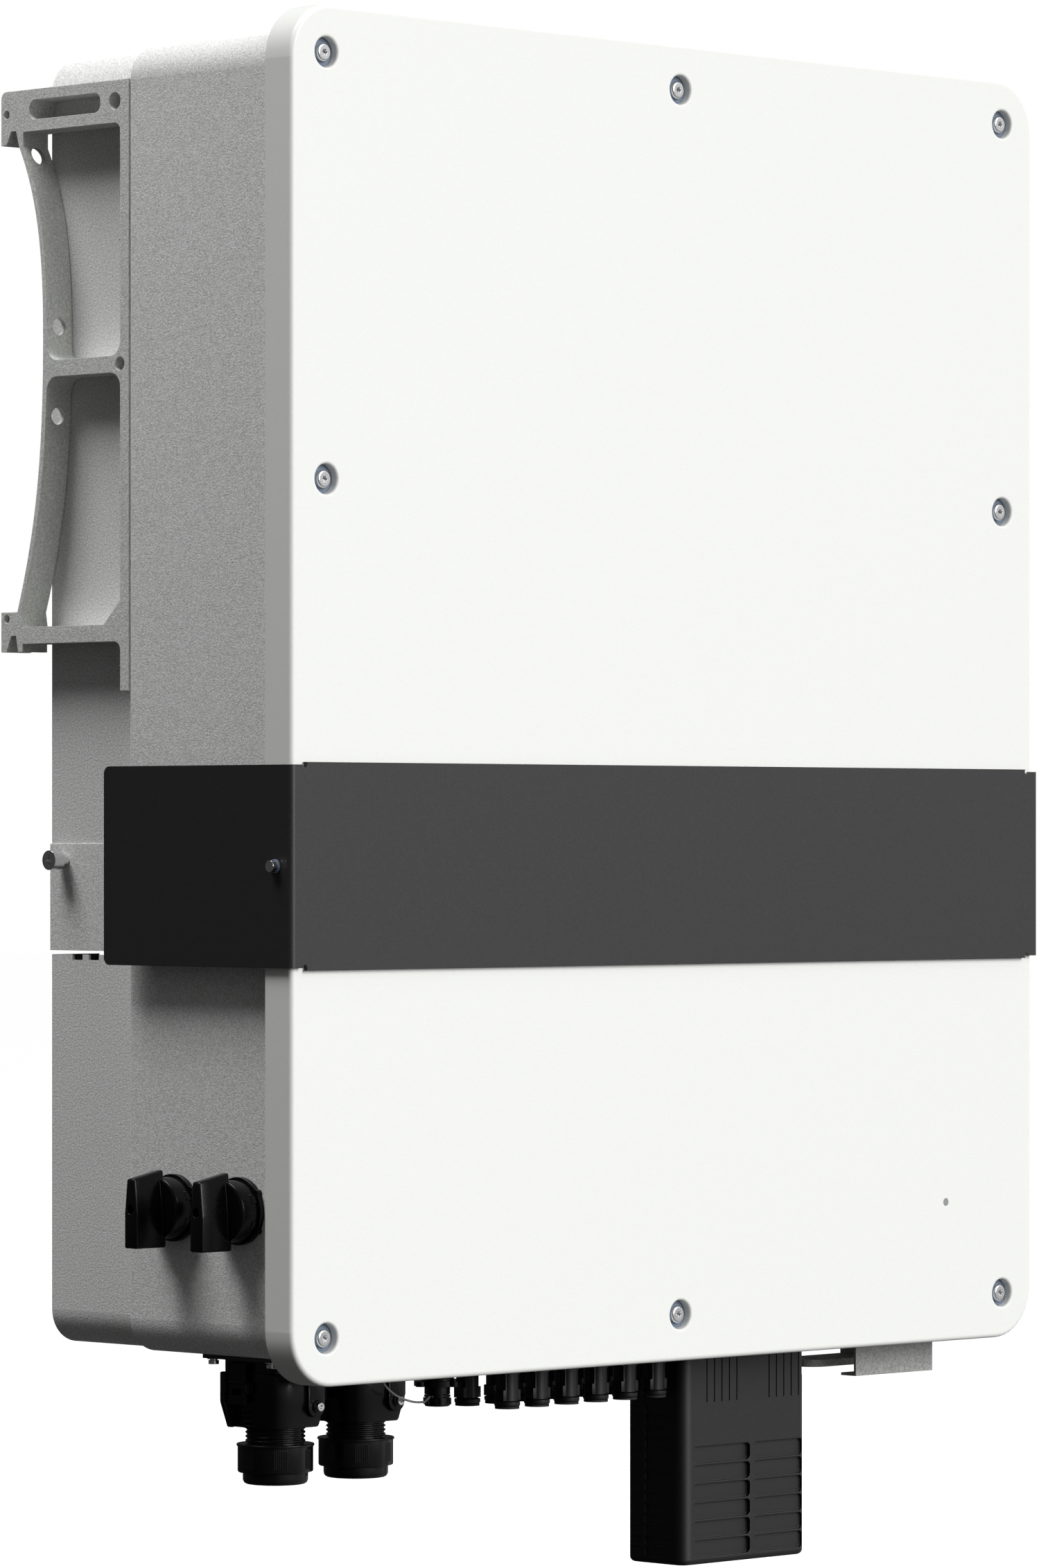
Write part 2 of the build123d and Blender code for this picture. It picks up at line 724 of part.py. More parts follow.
with BuildPart() as bracket_left:
    profile_plane = side_plane(housing_left_x)
    with BuildSketch(profile_plane) as bracket_profile:
        with BuildLine():
            Spline(*web_outer)
            Polyline(
                web_outer[-1],
                (-lower_hook_top_reach, -lower_hook_top_drop),
                (0, -lower_hook_top_drop),
                (0, lower_mouth_z),
                (-hook_mouth_back, lower_mouth_z),
                (-hook_notch_back, -lower_hook_drop),
                (-hook_notch_front, -lower_hook_drop),
                (-hook_mouth_front + 1, lower_mouth_z),
                (-hook_mouth_front - 2.5, lower_mouth_z),
                (-hook_mouth_front - 2.5, bar_bottom_z),
                (-bracket_depth + bracket_flange, bar_bottom_z),
                (-bracket_depth + bracket_flange, -bracket_flange_drop),
                (-bracket_depth, -bracket_flange_drop),
                (-bracket_depth, bracket_top_above_seat),
                (0, bracket_top_above_seat),
                (0, -hook_depth_bottom),
                (-hook_mouth_back, -hook_depth_bottom),
                (-hook_notch_back, 0),
                (-hook_notch_front, 0),
                web_outer[0],
            )
        make_face()
        top_corner = bracket_profile.vertices().sort_by(Axis.Y)[-2:].sort_by(Axis.X)[-1]
        fillet(top_corner, bracket_top_corner)
        bar_ends = bracket_profile.vertices().sort_by(lambda corner: abs(corner.Y - bar_bottom_z))[:2]
        fillet(bar_ends.sort_by(Axis.X)[0], bottom_bar_corner)
    extrude(bracket_profile.sketch, amount=bracket_thickness)

    front_y = -bracket_depth + bracket_flange
    with BuildSketch(profile_plane) as windows:
        for top_drop, bottom_drop in (
            (window_top_drop, window_split_top_drop),
            (window_split_bottom_drop, window_bottom_drop),
        ):
            with Locations((front_y / 2, -(top_drop + bottom_drop) / 2)):
                Rectangle(-front_y, bottom_drop - top_drop)
        with BuildSketch(profile_plane, mode=Mode.PRIVATE) as behind_web:
            with BuildLine():
                Spline(*[(y - web_thickness, z) for y, z in web_outer])
                Polyline(
                    (web_outer[-1][0] - web_thickness, web_outer[-1][1]),
                    (-hook_mouth_front - web_thickness, -window_bottom_drop - 1),
                    (1, -window_bottom_drop - 1),
                    (1, 1),
                    (-hook_mouth_front - web_thickness, 1),
                    (web_outer[0][0] - web_thickness, web_outer[0][1]),
                )
            make_face()
        add(behind_web.sketch_local, mode=Mode.SUBTRACT)
        flange_corners = windows.vertices().group_by(Axis.X)[0]
        fillet(flange_corners.sort_by(Axis.Y)[-1], window_small_radius)
        split_corners = windows.vertices().filter_by_position(
            Axis.Y, -window_split_bottom_drop - 0.1, -window_split_top_drop + 0.1
        )
        fillet(split_corners, window_large_radius)
        gusset_corner = windows.vertices().group_by(Axis.X)[0].sort_by(Axis.Y)[0]
        chamfer(gusset_corner, gusset_side)
    extrude(windows.sketch, amount=bracket_thickness, mode=Mode.SUBTRACT)

    slot_y = -(top_slot_front + top_slot_back) / 2
    slot_z = (top_slot_low + top_slot_high) / 2
    slot_height = top_slot_high - top_slot_low
    plates(
        profile_plane, top_slot_front - top_slot_back, slot_height, bracket_thickness, [(slot_y, slot_z)],
        window_small_radius, Mode.SUBTRACT,
    )
    port_spots = [(-port_from_wall, port_above_seat), (-port_from_wall, port_above_seat - lower_hook_drop)]
    discs(profile_plane, port_radius, bracket_thickness, port_spots, Mode.SUBTRACT)
    discs(
        profile_plane, top_bore_radius, bracket_thickness,
        [(top_bore_from_front - bracket_depth, slot_z)], Mode.SUBTRACT,
    )
    bar_mid_z = -(window_split_top_drop + window_split_bottom_drop) / 2
    discs(
        profile_plane, middle_bore_radius, bracket_thickness,
        [(middle_bore_from_front - bracket_depth, bar_mid_z)], Mode.SUBTRACT,
    )
    discs(
        front_plane(0), web_bore_radius, web_belly_reach + web_thickness + 6,
        [(bracket_mid_x, -drop) for drop in web_bore_drops], Mode.SUBTRACT,
    )
    discs(
        front_plane(housing_back_y + bracket_flange), bracket_bolt_radius + fit_gap, bracket_flange,
        [(bracket_mid_x, -drop) for drop in bracket_bolt_drops], Mode.SUBTRACT,
    )
write(bracket_left, "bracket_left")

with BuildPart() as bracket_right:
    mirror(bracket_left.part, about=Plane.YZ)
write(bracket_right, "bracket_right")

with BuildPart() as bracket_bolts:
    bolt_seat_y = housing_back_y + bracket_flange
    with BuildSketch(front_plane(bolt_seat_y + bracket_bolt_head_height)) as bolt_heads:
        with Locations(*bracket_bolt_spots):
            RegularPolygon(bracket_bolt_head_radius, 6)
    extrude(bolt_heads.sketch, amount=bracket_bolt_head_height)
    discs(front_plane(bolt_seat_y), bracket_bolt_radius, bracket_bolt_length, bracket_bolt_spots)
write(bracket_bolts, "bracket_bolts")

# ---------------------------------------------------------------- air duct at the back
duct_mid_y = (housing_back_y + duct_back_y) / 2


def duct_block(grow, bottom_z, top_z, mode=Mode.ADD):
    """The duct between two levels, against the housing; grow is how far it stands outside the duct."""
    with BuildSketch(front_plane(duct_back_y + grow)) as outline:
        with Locations((0, cover_mid_z)):
            RectangleRounded(2 * (duct_half_width + grow), housing_height + 2 * grow, duct_corner + grow)
        with Locations((0, (bottom_z + top_z) / 2)):
            Rectangle(2 * housing_width, top_z - bottom_z, mode=Mode.INTERSECT)
    extrude(outline.sketch, amount=duct_depth + grow, mode=mode)


thumb_spot = (duct_back_y - thumb_screw_from_back, strap_top_z - thumb_screw_below_strap_top)
thumb_hole_radius = thumb_screw_shank_radius + fit_gap
duct_top_z = housing_top_z
upper_bottom_z = strap_top_z - strap_height / 2

with BuildPart() as upper_duct_cover:
    duct_block(0, upper_bottom_z, duct_top_z)
    fillet(upper_duct_cover.faces().sort_by(Axis.Y)[-1].edges(), duct_edge_radius)
    duct_block(-duct_sheet, upper_bottom_z, duct_top_z, Mode.SUBTRACT)
    outlet_count = int((2 * duct_half_width - 4 * duct_corner) // outlet_slot_pitch)
    with BuildSketch(Plane.XY.offset(duct_top_z - duct_sheet)) as outlet_slots:
        with Locations((0, duct_mid_y)):
            with GridLocations(outlet_slot_pitch, 1, outlet_count, 1):
                SlotOverall(outlet_slot_length, outlet_slot_width, rotation=90)
    extrude(outlet_slots.sketch, amount=duct_sheet, mode=Mode.SUBTRACT)
    discs(side_plane(-duct_half_width), thumb_hole_radius, 2 * duct_half_width, [thumb_spot], Mode.SUBTRACT)
write(upper_duct_cover, "upper_duct_cover")

with BuildPart() as duct_strap:
    strap_half = duct_half_width + strap_sheet
    duct_block(strap_sheet, strap_bottom_z, strap_bottom_z + strap_height)
    fillet(duct_strap.edges().filter_by(Axis.Z).group_by(Axis.Y)[-1], duct_edge_radius)
    duct_block(0, strap_bottom_z, strap_bottom_z + strap_height, Mode.SUBTRACT)
    discs(side_plane(-strap_half), thumb_hole_radius, 2 * strap_half, [thumb_spot], Mode.SUBTRACT)
write(duct_strap, "duct_strap")

with BuildPart() as thumb_screws:
    thumb_neck = thumb_screw_reach - 7.0
    at_both_sides(strap_half, thumb_screw_radius - 1.6, thumb_neck, thumb_spot)
    at_both_sides(strap_half + thumb_neck, thumb_screw_radius, 7.0, thumb_spot)
    at_both_sides(duct_half_width - 6, thumb_screw_shank_radius, 6 + strap_sheet, thumb_spot)
    for side in (-1, 1):
        head_face = side_plane(side * (strap_half + thumb_screw_reach))
        plates(head_face, 5.6, 1.1, -side * 1.8, [thumb_spot], 0, Mode.SUBTRACT)
        plates(head_face, 1.1, 5.6, -side * 1.8, [thumb_spot], 0, Mode.SUBTRACT)
write(thumb_screws, "thumb_screws")

fan_y = duct_mid_y - duct_sheet / 2
fan_spots = [((index - (fan_count - 1) / 2) * fan_pitch, fan_y) for index in range(fan_count)]
tray_z = housing_bottom_z + fan_tray_above_bottom
fan_bottom_z = tray_z + fan_tray_thickness

with BuildPart() as lower_duct_cover:
    duct_block(0, housing_bottom_z, lower_cover_top_z)
    fillet(lower_duct_cover.faces().sort_by(Axis.Y)[-1].edges(), duct_edge_radius)
    duct_block(-duct_sheet, housing_bottom_z, lower_cover_top_z, Mode.SUBTRACT)
    notch_plane = Plane.XY.offset(lower_cover_top_z - vent_depth)
    back_notches = int((2 * duct_half_width - 2 * vent_margin) // vent_pitch)
    side_notches = int((duct_depth - vent_margin) // vent_pitch)
    with BuildSketch(notch_plane) as vent_notches:
        with Locations((0, duct_back_y - duct_sheet / 2)):
            with GridLocations(vent_pitch, 1, back_notches, 1):
                Rectangle(vent_width, 2 * duct_sheet)
        with Locations((0, duct_mid_y)):
            with GridLocations(2 * duct_half_width - duct_sheet, vent_pitch, 2, side_notches):
                Rectangle(2 * duct_sheet, vent_width)
    extrude(vent_notches.sketch, amount=vent_depth, mode=Mode.SUBTRACT)
    with BuildSketch(Plane.XY.offset(housing_bottom_z)) as fan_inlets:
        with Locations(*fan_spots):
            Circle(fan_bore_radius)
        for ring in range(1, int(fan_bore_radius // grille_ring_pitch) + 1):
            with Locations(*fan_spots):
                Circle(ring * grille_ring_pitch, mode=Mode.SUBTRACT)
                Circle(ring * grille_ring_pitch - grille_ring_width)
        with Locations(*fan_spots):
            Circle(grille_ring_pitch, mode=Mode.SUBTRACT)
            Rectangle(2 * fan_bore_radius + 2, 2 * grille_ring_width, mode=Mode.SUBTRACT)
            Rectangle(2 * grille_ring_width, 2 * fan_bore_radius + 2, mode=Mode.SUBTRACT)
    extrude(fan_inlets.sketch, amount=duct_sheet, mode=Mode.SUBTRACT)
write(lower_duct_cover, "lower_duct_cover")

with BuildPart() as heat_sink:
    sink_bottom_z = housing_bottom_z + sink_bottom_gap
    fin_count = int(sink_width // sink_fin_pitch)
    with BuildSketch(Plane.XY.offset(sink_bottom_z)) as sink_section:
        with Locations((0, housing_back_y + sink_base / 2)):
            Rectangle(sink_width, sink_base)
        with Locations((0, housing_back_y + sink_base + sink_fin_height / 2 - 0.5)):
            with GridLocations(sink_fin_pitch, 1, fin_count, 1):
                Rectangle(sink_fin_thickness, sink_fin_height + 1)
    extrude(sink_section.sketch, amount=housing_height - sink_bottom_gap - sink_top_gap)
write(heat_sink, "heat_sink")

# ---------------------------------------------------------------- fans in the duct's lower end
with BuildPart() as fan_tray:
    tray_clear = duct_sheet + fit_gap
    with BuildSketch(Plane.XY.offset(tray_z)) as tray_outline:
        with Locations((0, (housing_back_y + duct_back_y - tray_clear) / 2)):
            Rectangle(2 * (duct_half_width - tray_clear), duct_depth - tray_clear)
        with Locations(*fan_spots):
            Circle(fan_bore_radius, mode=Mode.SUBTRACT)
    extrude(tray_outline.sketch, amount=fan_tray_thickness)
write(fan_tray, "fan_tray")

with BuildPart() as fan_frames:
    plates(Plane.XY.offset(fan_bottom_z), fan_side, fan_side, fan_height, fan_spots, 4)
    discs(Plane.XY.offset(fan_bottom_z), fan_bore_radius, fan_height, fan_spots, Mode.SUBTRACT)
    spokes = Plane.XY.offset(fan_bottom_z)
    plates(spokes, 2 * fan_bore_radius + 2, fan_spoke_width, fan_spoke_thickness, fan_spots)
    plates(spokes, fan_spoke_width, 2 * fan_bore_radius + 2, fan_spoke_thickness, fan_spots)
    discs(spokes, fan_hub_radius, fan_spoke_thickness, fan_spots)
    discs(spokes, fan_bush_radius + 1.5, fan_spoke_thickness + 6, fan_spots)
    discs(spokes, fan_bush_radius, fan_spoke_thickness + 6, fan_spots, Mode.SUBTRACT)
write(fan_frames, "fan_frames")

with BuildPart() as fan_bushes:
    rings(
        Plane.XY.offset(fan_bottom_z), fan_bush_radius, fan_shaft_radius + running_gap,
        fan_spoke_thickness + 6, fan_spots,
    )
write(fan_bushes, "fan_bushes")

rotor_bottom_z = fan_bottom_z + fan_spoke_thickness + 1.0
rotor_height = fan_height - fan_spoke_thickness - 3.0
blade_mid_z = rotor_bottom_z + rotor_height / 2


def fan_rotor(x, y):
    """Hub cup with its shaft and a ring of pitched blades, turning about a vertical axis."""
    with BuildPart() as rotor:
        cup = Plane.XY.offset(rotor_bottom_z)
        discs(cup, fan_hub_radius, rotor_height, [(x, y)])
        discs(cup, fan_bush_radius + 2.5, rotor_height - 5.0, [(x, y)], Mode.SUBTRACT)
        discs(Plane.XY.offset(fan_bottom_z + 0.5), fan_shaft_radius, fan_height - 4.0, [(x, y)])
        for blade in range(fan_blade_count):
            turn = math.radians(360 * blade / fan_blade_count)
            outward = (math.cos(turn), math.sin(turn), 0)
            root = (x + (fan_hub_radius - 1) * outward[0], y + (fan_hub_radius - 1) * outward[1], blade_mid_z)
            blade_plane = Plane(root, x_dir=(-outward[1], outward[0], 0), z_dir=outward)
            with BuildSketch(blade_plane) as blade_section:
                Rectangle(fan_blade_length, fan_blade_thickness, rotation=fan_blade_pitch_angle)
            extrude(blade_section.sketch, amount=fan_blade_tip - fan_hub_radius)
    return rotor


for index, (x, y) in enumerate(fan_spots, 1):
    write(fan_rotor(x, y), f"fan_rotor_{index}")

# ---------------------------------------------------------------- DC switches
with BuildPart() as switch_bases:
    base_plane = side_plane(housing_left_x)
    discs(base_plane, switch_base_radius, -switch_base_thickness, switch_spots)
    lug_spots = [
        (y + (switch_base_radius - 0.6) * math.cos(turn), z + (switch_base_radius - 0.6) * math.sin(turn))
        for y, z in switch_spots
        for turn in [math.radians(angle) for angle in (35, 145, 215, 325)]
    ]
    discs(base_plane, 1.8, -switch_base_thickness, lug_spots)
    discs(base_plane, switch_shaft_radius + running_gap, -switch_base_thickness, switch_spots, Mode.SUBTRACT)
write(switch_bases, "switch_bases")

dial_x = housing_left_x - switch_base_thickness - free_gap
dial_face_x = dial_x - switch_dial_thickness


def switch_knob(y, z):
    """Round dial with a blade handle across it; the blade is narrower towards its top."""
    with BuildPart() as knob:
        discs(side_plane(dial_x), switch_dial_radius, -switch_dial_thickness, [(y, z)])
        dial_rim = knob.edges().filter_by(lambda edge: edge.center().X < dial_face_x + 0.01)
        chamfer(dial_rim, switch_dial_bevel)
        blade_x = dial_face_x + 3.0
        half_top = handle_top_width / 2
        half_bottom = handle_bottom_width / 2
        half_length = handle_length / 2
        with BuildSketch(side_plane(blade_x)) as blade:
            with BuildLine():
                Polyline(
                    (y - half_top, z + half_length),
                    (y + half_top, z + half_length),
                    (y + half_bottom, z - 2),
                    (y + half_bottom, z - half_length),
                    (y - half_bottom, z - half_length),
                    (y - half_bottom, z - 2),
                    close=True,
                )
            make_face()
        extrude(blade.sketch, amount=-(handle_reach + 3.0))
        tip_x = blade_x - handle_reach - 3.0
        with BuildSketch(Plane.XZ.offset(-y)) as tip_wedge:
            with BuildLine():
                Polyline(
                    (blade_x, z + half_length),
                    (tip_x - 1, z + half_length - handle_tip_drop),
                    (tip_x - 1, z + half_length + 1),
                    (blade_x, z + half_length + 1),
                    close=True,
                )
            make_face()
        extrude(tip_wedge.sketch, amount=handle_bottom_width, both=True, mode=Mode.SUBTRACT)
        tip_edges = knob.faces().sort_by(Axis.X)[0].edges()
        fillet(tip_edges, handle_corner)
        discs(side_plane(tip_x), handle_hole_radius, 3.0, [(y, z)], Mode.SUBTRACT)
        discs(side_plane(dial_x), switch_shaft_radius, -6.0, [(y, z)], Mode.SUBTRACT)
    return knob


def switch_shaft(y, z):
    """Round shaft that the knob turns, through the housing wall into the switch."""
    with BuildPart() as shaft:
        discs(side_plane(dial_x - 6.0), switch_shaft_radius, switch_shaft_length, [(y, z)])
    return shaft


for index, (y, z) in enumerate(switch_spots, 1):
    write(switch_knob(y, z), f"switch_knob_{index}")
    write(switch_shaft(y, z), f"switch_shaft_{index}")

with BuildPart() as switch_boxes:
    box_x = housing_left_x + housing_wall + switch_box_from_wall
    plates(side_plane(box_x), switch_box_side, switch_box_side, switch_box_length, switch_spots, 3)
    shaft_reach = dial_x - 6.0 + switch_shaft_length - box_x + 1
    discs(side_plane(box_x), switch_shaft_radius + running_gap, shaft_reach, switch_spots, Mode.SUBTRACT)
write(switch_boxes, "switch_boxes")

# ---------------------------------------------------------------- AC connectors
plate_bottom_z = housing_bottom_z - port_plate_thickness
shell_top_z = plate_bottom_z - receptacle_flange
taper_top_z = shell_top_z - shell_straight
taper_bottom_z = taper_top_z - shell_taper
thread_bottom_z = taper_bottom_z - thread_length
nut_top_z = taper_bottom_z - nut_gap_under_shell
nut_bottom_z = nut_top_z - nut_height
dome_bottom_z = nut_bottom_z - nut_dome_height
gland_seal_bottom_z = nut_bottom_z - nut_cavity_below_facets + free_gap
pivot_z = housing_bottom_z - latch_pivot_drop
latch_back_x = ac_width / 2 + latch_gap
pivot_out = latch_back_x + latch_thickness / 2

with BuildPart() as port_plate:
    plates(
        Plane.XY.offset(plate_bottom_z), port_plate_width, port_plate_depth, port_plate_thickness,
        [(plate_x, plate_y)], port_plate_corner,
    )
    plate_plane = Plane.XY.offset(plate_bottom_z)
    discs(plate_plane, plate_screw_radius + fit_gap, port_plate_thickness, plate_screw_spots, Mode.SUBTRACT)
    discs(
        Plane.XY.offset(plate_bottom_z), receptacle_insert_radius + fit_gap, port_plate_thickness, ac_spots,
        Mode.SUBTRACT,
    )
write(port_plate, "port_plate")

with BuildPart() as ac_receptacles:
    flange_plane = Plane.XY.offset(shell_top_z)
    plates(flange_plane, ac_width, ac_depth, receptacle_flange, ac_spots, ac_small_corner)
    discs(Plane.XY.offset(plate_bottom_z), receptacle_insert_radius, receptacle_insert_height, ac_spots)
    discs(flange_plane, receptacle_nose_radius, -receptacle_nose_depth, ac_spots)
    tooth_z = pivot_z + latch_above_pivot - latch_tooth_height
    groove_spots = [(x - ac_width / 2, y + latch_offset) for x, y in ac_spots]
    plates(
        Plane.XY.offset(tooth_z - free_gap), 2 * latch_tooth, latch_width, latch_tooth_height + 2 * free_gap,
        groove_spots, 0, Mode.SUBTRACT,
    )
    pin_spots = [
        (x + contact_circle * math.cos(turn), y + contact_circle * math.sin(turn))
        for x, y in ac_spots
        for turn in [2 * math.pi * pin / contact_count for pin in range(contact_count)]
    ]
    contact_length = receptacle_insert_height + receptacle_nose_depth + receptacle_flange
    discs(
        Plane.XY.offset(shell_top_z - receptacle_nose_depth), contact_radius + fit_gap, contact_length,
        pin_spots, Mode.SUBTRACT,
    )
write(ac_receptacles, "ac_receptacles")

with BuildPart() as ac_contacts:
    pin_plane = Plane.XY.offset(shell_top_z - receptacle_nose_depth - 2)
    discs(pin_plane, contact_radius, contact_length + 6, pin_spots)
write(ac_contacts, "ac_contacts")


def shell_section(plane, width, depth, x, y):
    """Plan of the plug shell: two small corners and two large ones, on opposite corners."""
    with BuildSketch(plane) as section:
        with Locations((x, y)):
            Rectangle(width, depth)
        corners = section.vertices().sort_by(lambda corner: corner.X - x + corner.Y - y)
        fillet([corners[0], corners[3]], ac_large_corner)
        remaining = section.vertices().sort_by(lambda corner: abs(corner.X - x) + abs(corner.Y - y))
        fillet(remaining[-2:], ac_small_corner)
    return section.sketch


def plug_shell(x, y):
    """Plug housing with its tapered throat, gland thread, latch ears and front strap."""
    with BuildPart() as shell:
        top_section = shell_section(Plane.XY.offset(taper_top_z), ac_width, ac_depth, x, y)
        extrude(top_section, amount=shell_straight)
        with BuildSketch(Plane.XY.offset(taper_bottom_z)) as throat:
            with Locations((x, y)):
                Circle(thread_radius + 1.2)
        with BuildSketch(Plane.XY.offset(taper_top_z)) as waist:
            with Locations((x, y)):
                Circle(ac_width / 2)
        loft([throat.sketch, waist.sketch])
        with BuildSketch(Plane.XY.offset(taper_top_z)) as shoulder:
            add(top_section.moved(Location((0, 0, -taper_top_z))))
        extrude(shoulder.sketch, amount=-shell_taper, taper=14)
        discs(Plane.XY.offset(thread_bottom_z), thread_core_radius, thread_length, [(x, y)])
        ridge_count = int(thread_length // thread_pitch)
        for ridge in range(ridge_count):
            ridge_z = taper_bottom_z - (ridge + 0.6) * thread_pitch
            with BuildSketch(Plane.XZ.offset(-y)) as ridge_section:
                with BuildLine():
                    Polyline(
                        (x + thread_core_radius - 0.5, ridge_z - 0.9),
                        (x + thread_radius, ridge_z - 0.2),
                        (x + thread_radius, ridge_z + 0.2),
                        (x + thread_core_radius - 0.5, ridge_z + 0.9),
                        close=True,
                    )
                make_face()
            revolve(ridge_section.sketch, axis=Axis((x, y, 0), (0, 0, 1)))
        strap_x = x + ear_offset
        strap_y = y - ac_depth / 2
        plates(
            Plane.XY.offset(shell_top_z), ear_width, 2 * ear_thickness, -(ear_drop - ear_width / 2),
            [(strap_x, strap_y)],
        )
        strap_end = [(strap_x, shell_top_z - ear_drop + ear_width / 2)]
        discs(front_plane(strap_y + ear_thickness), ear_width / 2, 2 * ear_thickness, strap_end)
        for side in (-1, 1):
            ear_y = y + latch_offset + side * (latch_width / 2 + free_gap + latch_ear_thickness / 2)
            ear_block = Plane((x - ac_width / 2, ear_y, pivot_z), x_dir=(1, 0, 0), z_dir=(0, 0, 1))
            ear_reach = pivot_out - ac_width / 2 + latch_pin_radius + latch_ear_wall
            ear_floor = ear_block.offset(-latch_ear_height / 2)
            plates(ear_floor, 2 * ear_reach, latch_ear_thickness, latch_ear_height)
        bore_length = shell_top_z - thread_bottom_z
        discs(Plane.XY.offset(thread_bottom_z), shell_bore_radius, bore_length, [(x, y)], Mode.SUBTRACT)
        pin_line = front_plane(y + latch_offset + latch_width / 2 + 4)
        pin_hole_radius = latch_pin_radius + running_gap
        discs(pin_line, pin_hole_radius, latch_width + 8, [(x - pivot_out, pivot_z)], Mode.SUBTRACT)
        for rib in range(rib_count):
            rib_z = taper_bottom_z + 2.5 + rib * rib_pitch
            plates(
                Plane.XY.offset(rib_z), 2 * rib_depth + 6, 16.0, rib_gap,
                [(x - ac_width / 2 - 0.6 + rib * 0.5, y - 3)], 0, Mode.SUBTRACT,
            )
        discs(front_plane(strap_y + 6), ear_screw_radius * 0.6 + fit_gap, 12, strap_end, Mode.SUBTRACT)
    return shell


def plug_latch(x, y):
    """Sprung strap on the shell's left face: tooth at the top, window, ribbed thumb tab below."""
    with BuildPart() as latch:
        strap_y = y + latch_offset
        strap_mid = x - pivot_out
        back_x = x - latch_back_x
        length = latch_above_pivot + latch_below_pivot
        plates(
            Plane.XY.offset(pivot_z - latch_below_pivot), latch_thickness, latch_width, length,
            [(strap_mid, strap_y)],
        )
        plates(
            side_plane(strap_mid - latch_thickness), latch_window[0], latch_window[1], 2 * latch_thickness,
            [(strap_y, pivot_z - 5.0)], 0, Mode.SUBTRACT,
        )
        tooth_length = latch_gap + latch_tooth - free_gap
        plates(
            Plane.XY.offset(tooth_z), tooth_length, latch_width - 2, latch_tooth_height,
            [(back_x + tooth_length / 2, strap_y)],
        )
        barrel = front_plane(strap_y + latch_width / 2)
        discs(barrel, latch_barrel_radius, latch_width, [(strap_mid, pivot_z)])
        pin_reach = latch_ear_thickness + free_gap - 0.1
        pin_line = front_plane(strap_y + latch_width / 2 + pin_reach)
        discs(pin_line, latch_pin_radius, latch_width + 2 * pin_reach, [(strap_mid, pivot_z)])
        for rib in range(3):
            plates(
                Plane.XY.offset(pivot_z - latch_below_pivot + 0.6 + 1.5 * rib), 0.8, latch_width, 0.7,
                [(strap_mid - latch_thickness / 2 - 0.3, strap_y)],
            )
    return latch


def gland_nut(x, y):
    """Twelve-sided clamping nut with a thin rim above and a round dome below."""
    with BuildPart() as nut:
        with BuildSketch(Plane.XY.offset(nut_bottom_z)) as facets:
            with Locations((x, y)):
                RegularPolygon(nut_radius, nut_facets)
        extrude(facets.sketch, amount=nut_height)
        chamfer(nut.faces().sort_by(Axis.Z)[0].edges(), 1.2)
        discs(Plane.XY.offset(nut_top_z - nut_rim_thickness), nut_rim_radius, nut_rim_thickness, [(x, y)])
        discs(Plane.XY.offset(dome_bottom_z), nut_dome_radius, nut_dome_height, [(x, y)])
        fillet(nut.faces().sort_by(Axis.Z)[0].edges(), nut_dome_edge)
        thread_clear = thread_radius + free_gap
        cavity_plane = Plane.XY.offset(nut_bottom_z - nut_cavity_below_facets)
        discs(cavity_plane, thread_clear, nut_height + nut_cavity_below_facets, [(x, y)], Mode.SUBTRACT)
        discs(Plane.XY.offset(dome_bottom_z), nut_mouth_radius, nut_dome_height, [(x, y)], Mode.SUBTRACT)
    return nut


for name, (x, y) in zip(("grid", "backup"), ac_spots):
    write(plug_shell(x, y), f"{name}_plug_shell")
    write(plug_latch(x, y), f"{name}_plug_latch")
    write(gland_nut(x, y), f"{name}_gland_nut")

with BuildPart() as gland_seals:
    rings(
        Plane.XY.offset(gland_seal_bottom_z), shell_bore_radius - fit_gap, cable_bore_radius,
        gland_seal_height, ac_spots,
    )
write(gland_seals, "gland_seals")

with BuildPart() as plug_screws:
    ear_front_y = ac_spots[0][1] - ac_depth / 2 - ear_thickness
    ear_screw_z = shell_top_z - ear_drop + ear_width / 2
    ear_screw_spots = [(x + ear_offset, ear_screw_z) for x, y in ac_spots]
    discs(front_plane(ear_front_y), ear_collar_radius, 0.8, ear_screw_spots)
    discs(front_plane(ear_front_y - 0.8), ear_screw_radius, ear_screw_reach - 0.8, ear_screw_spots)
    discs(front_plane(ear_front_y + 5), ear_screw_radius * 0.6, 5, ear_screw_spots)
    star_plane = front_plane(ear_front_y - ear_screw_reach + 1.2)
    discs(star_plane, 1.0, 1.2, ear_screw_spots, Mode.SUBTRACT)
write(plug_screws, "plug_screws")

# ---------------------------------------------------------------- communication port
com_neck_bottom_z = housing_bottom_z - com_neck_drop
com_flange_bottom_z = com_neck_bottom_z - com_flange_thickness
com_barrel_bottom_z = com_flange_bottom_z - com_barrel_height
cap_top_z = com_barrel_bottom_z - cap_neck_height - free_gap
ring_z = com_barrel_bottom_z - cap_neck_height / 2 - free_gap / 2 - tether_ring_thickness / 2

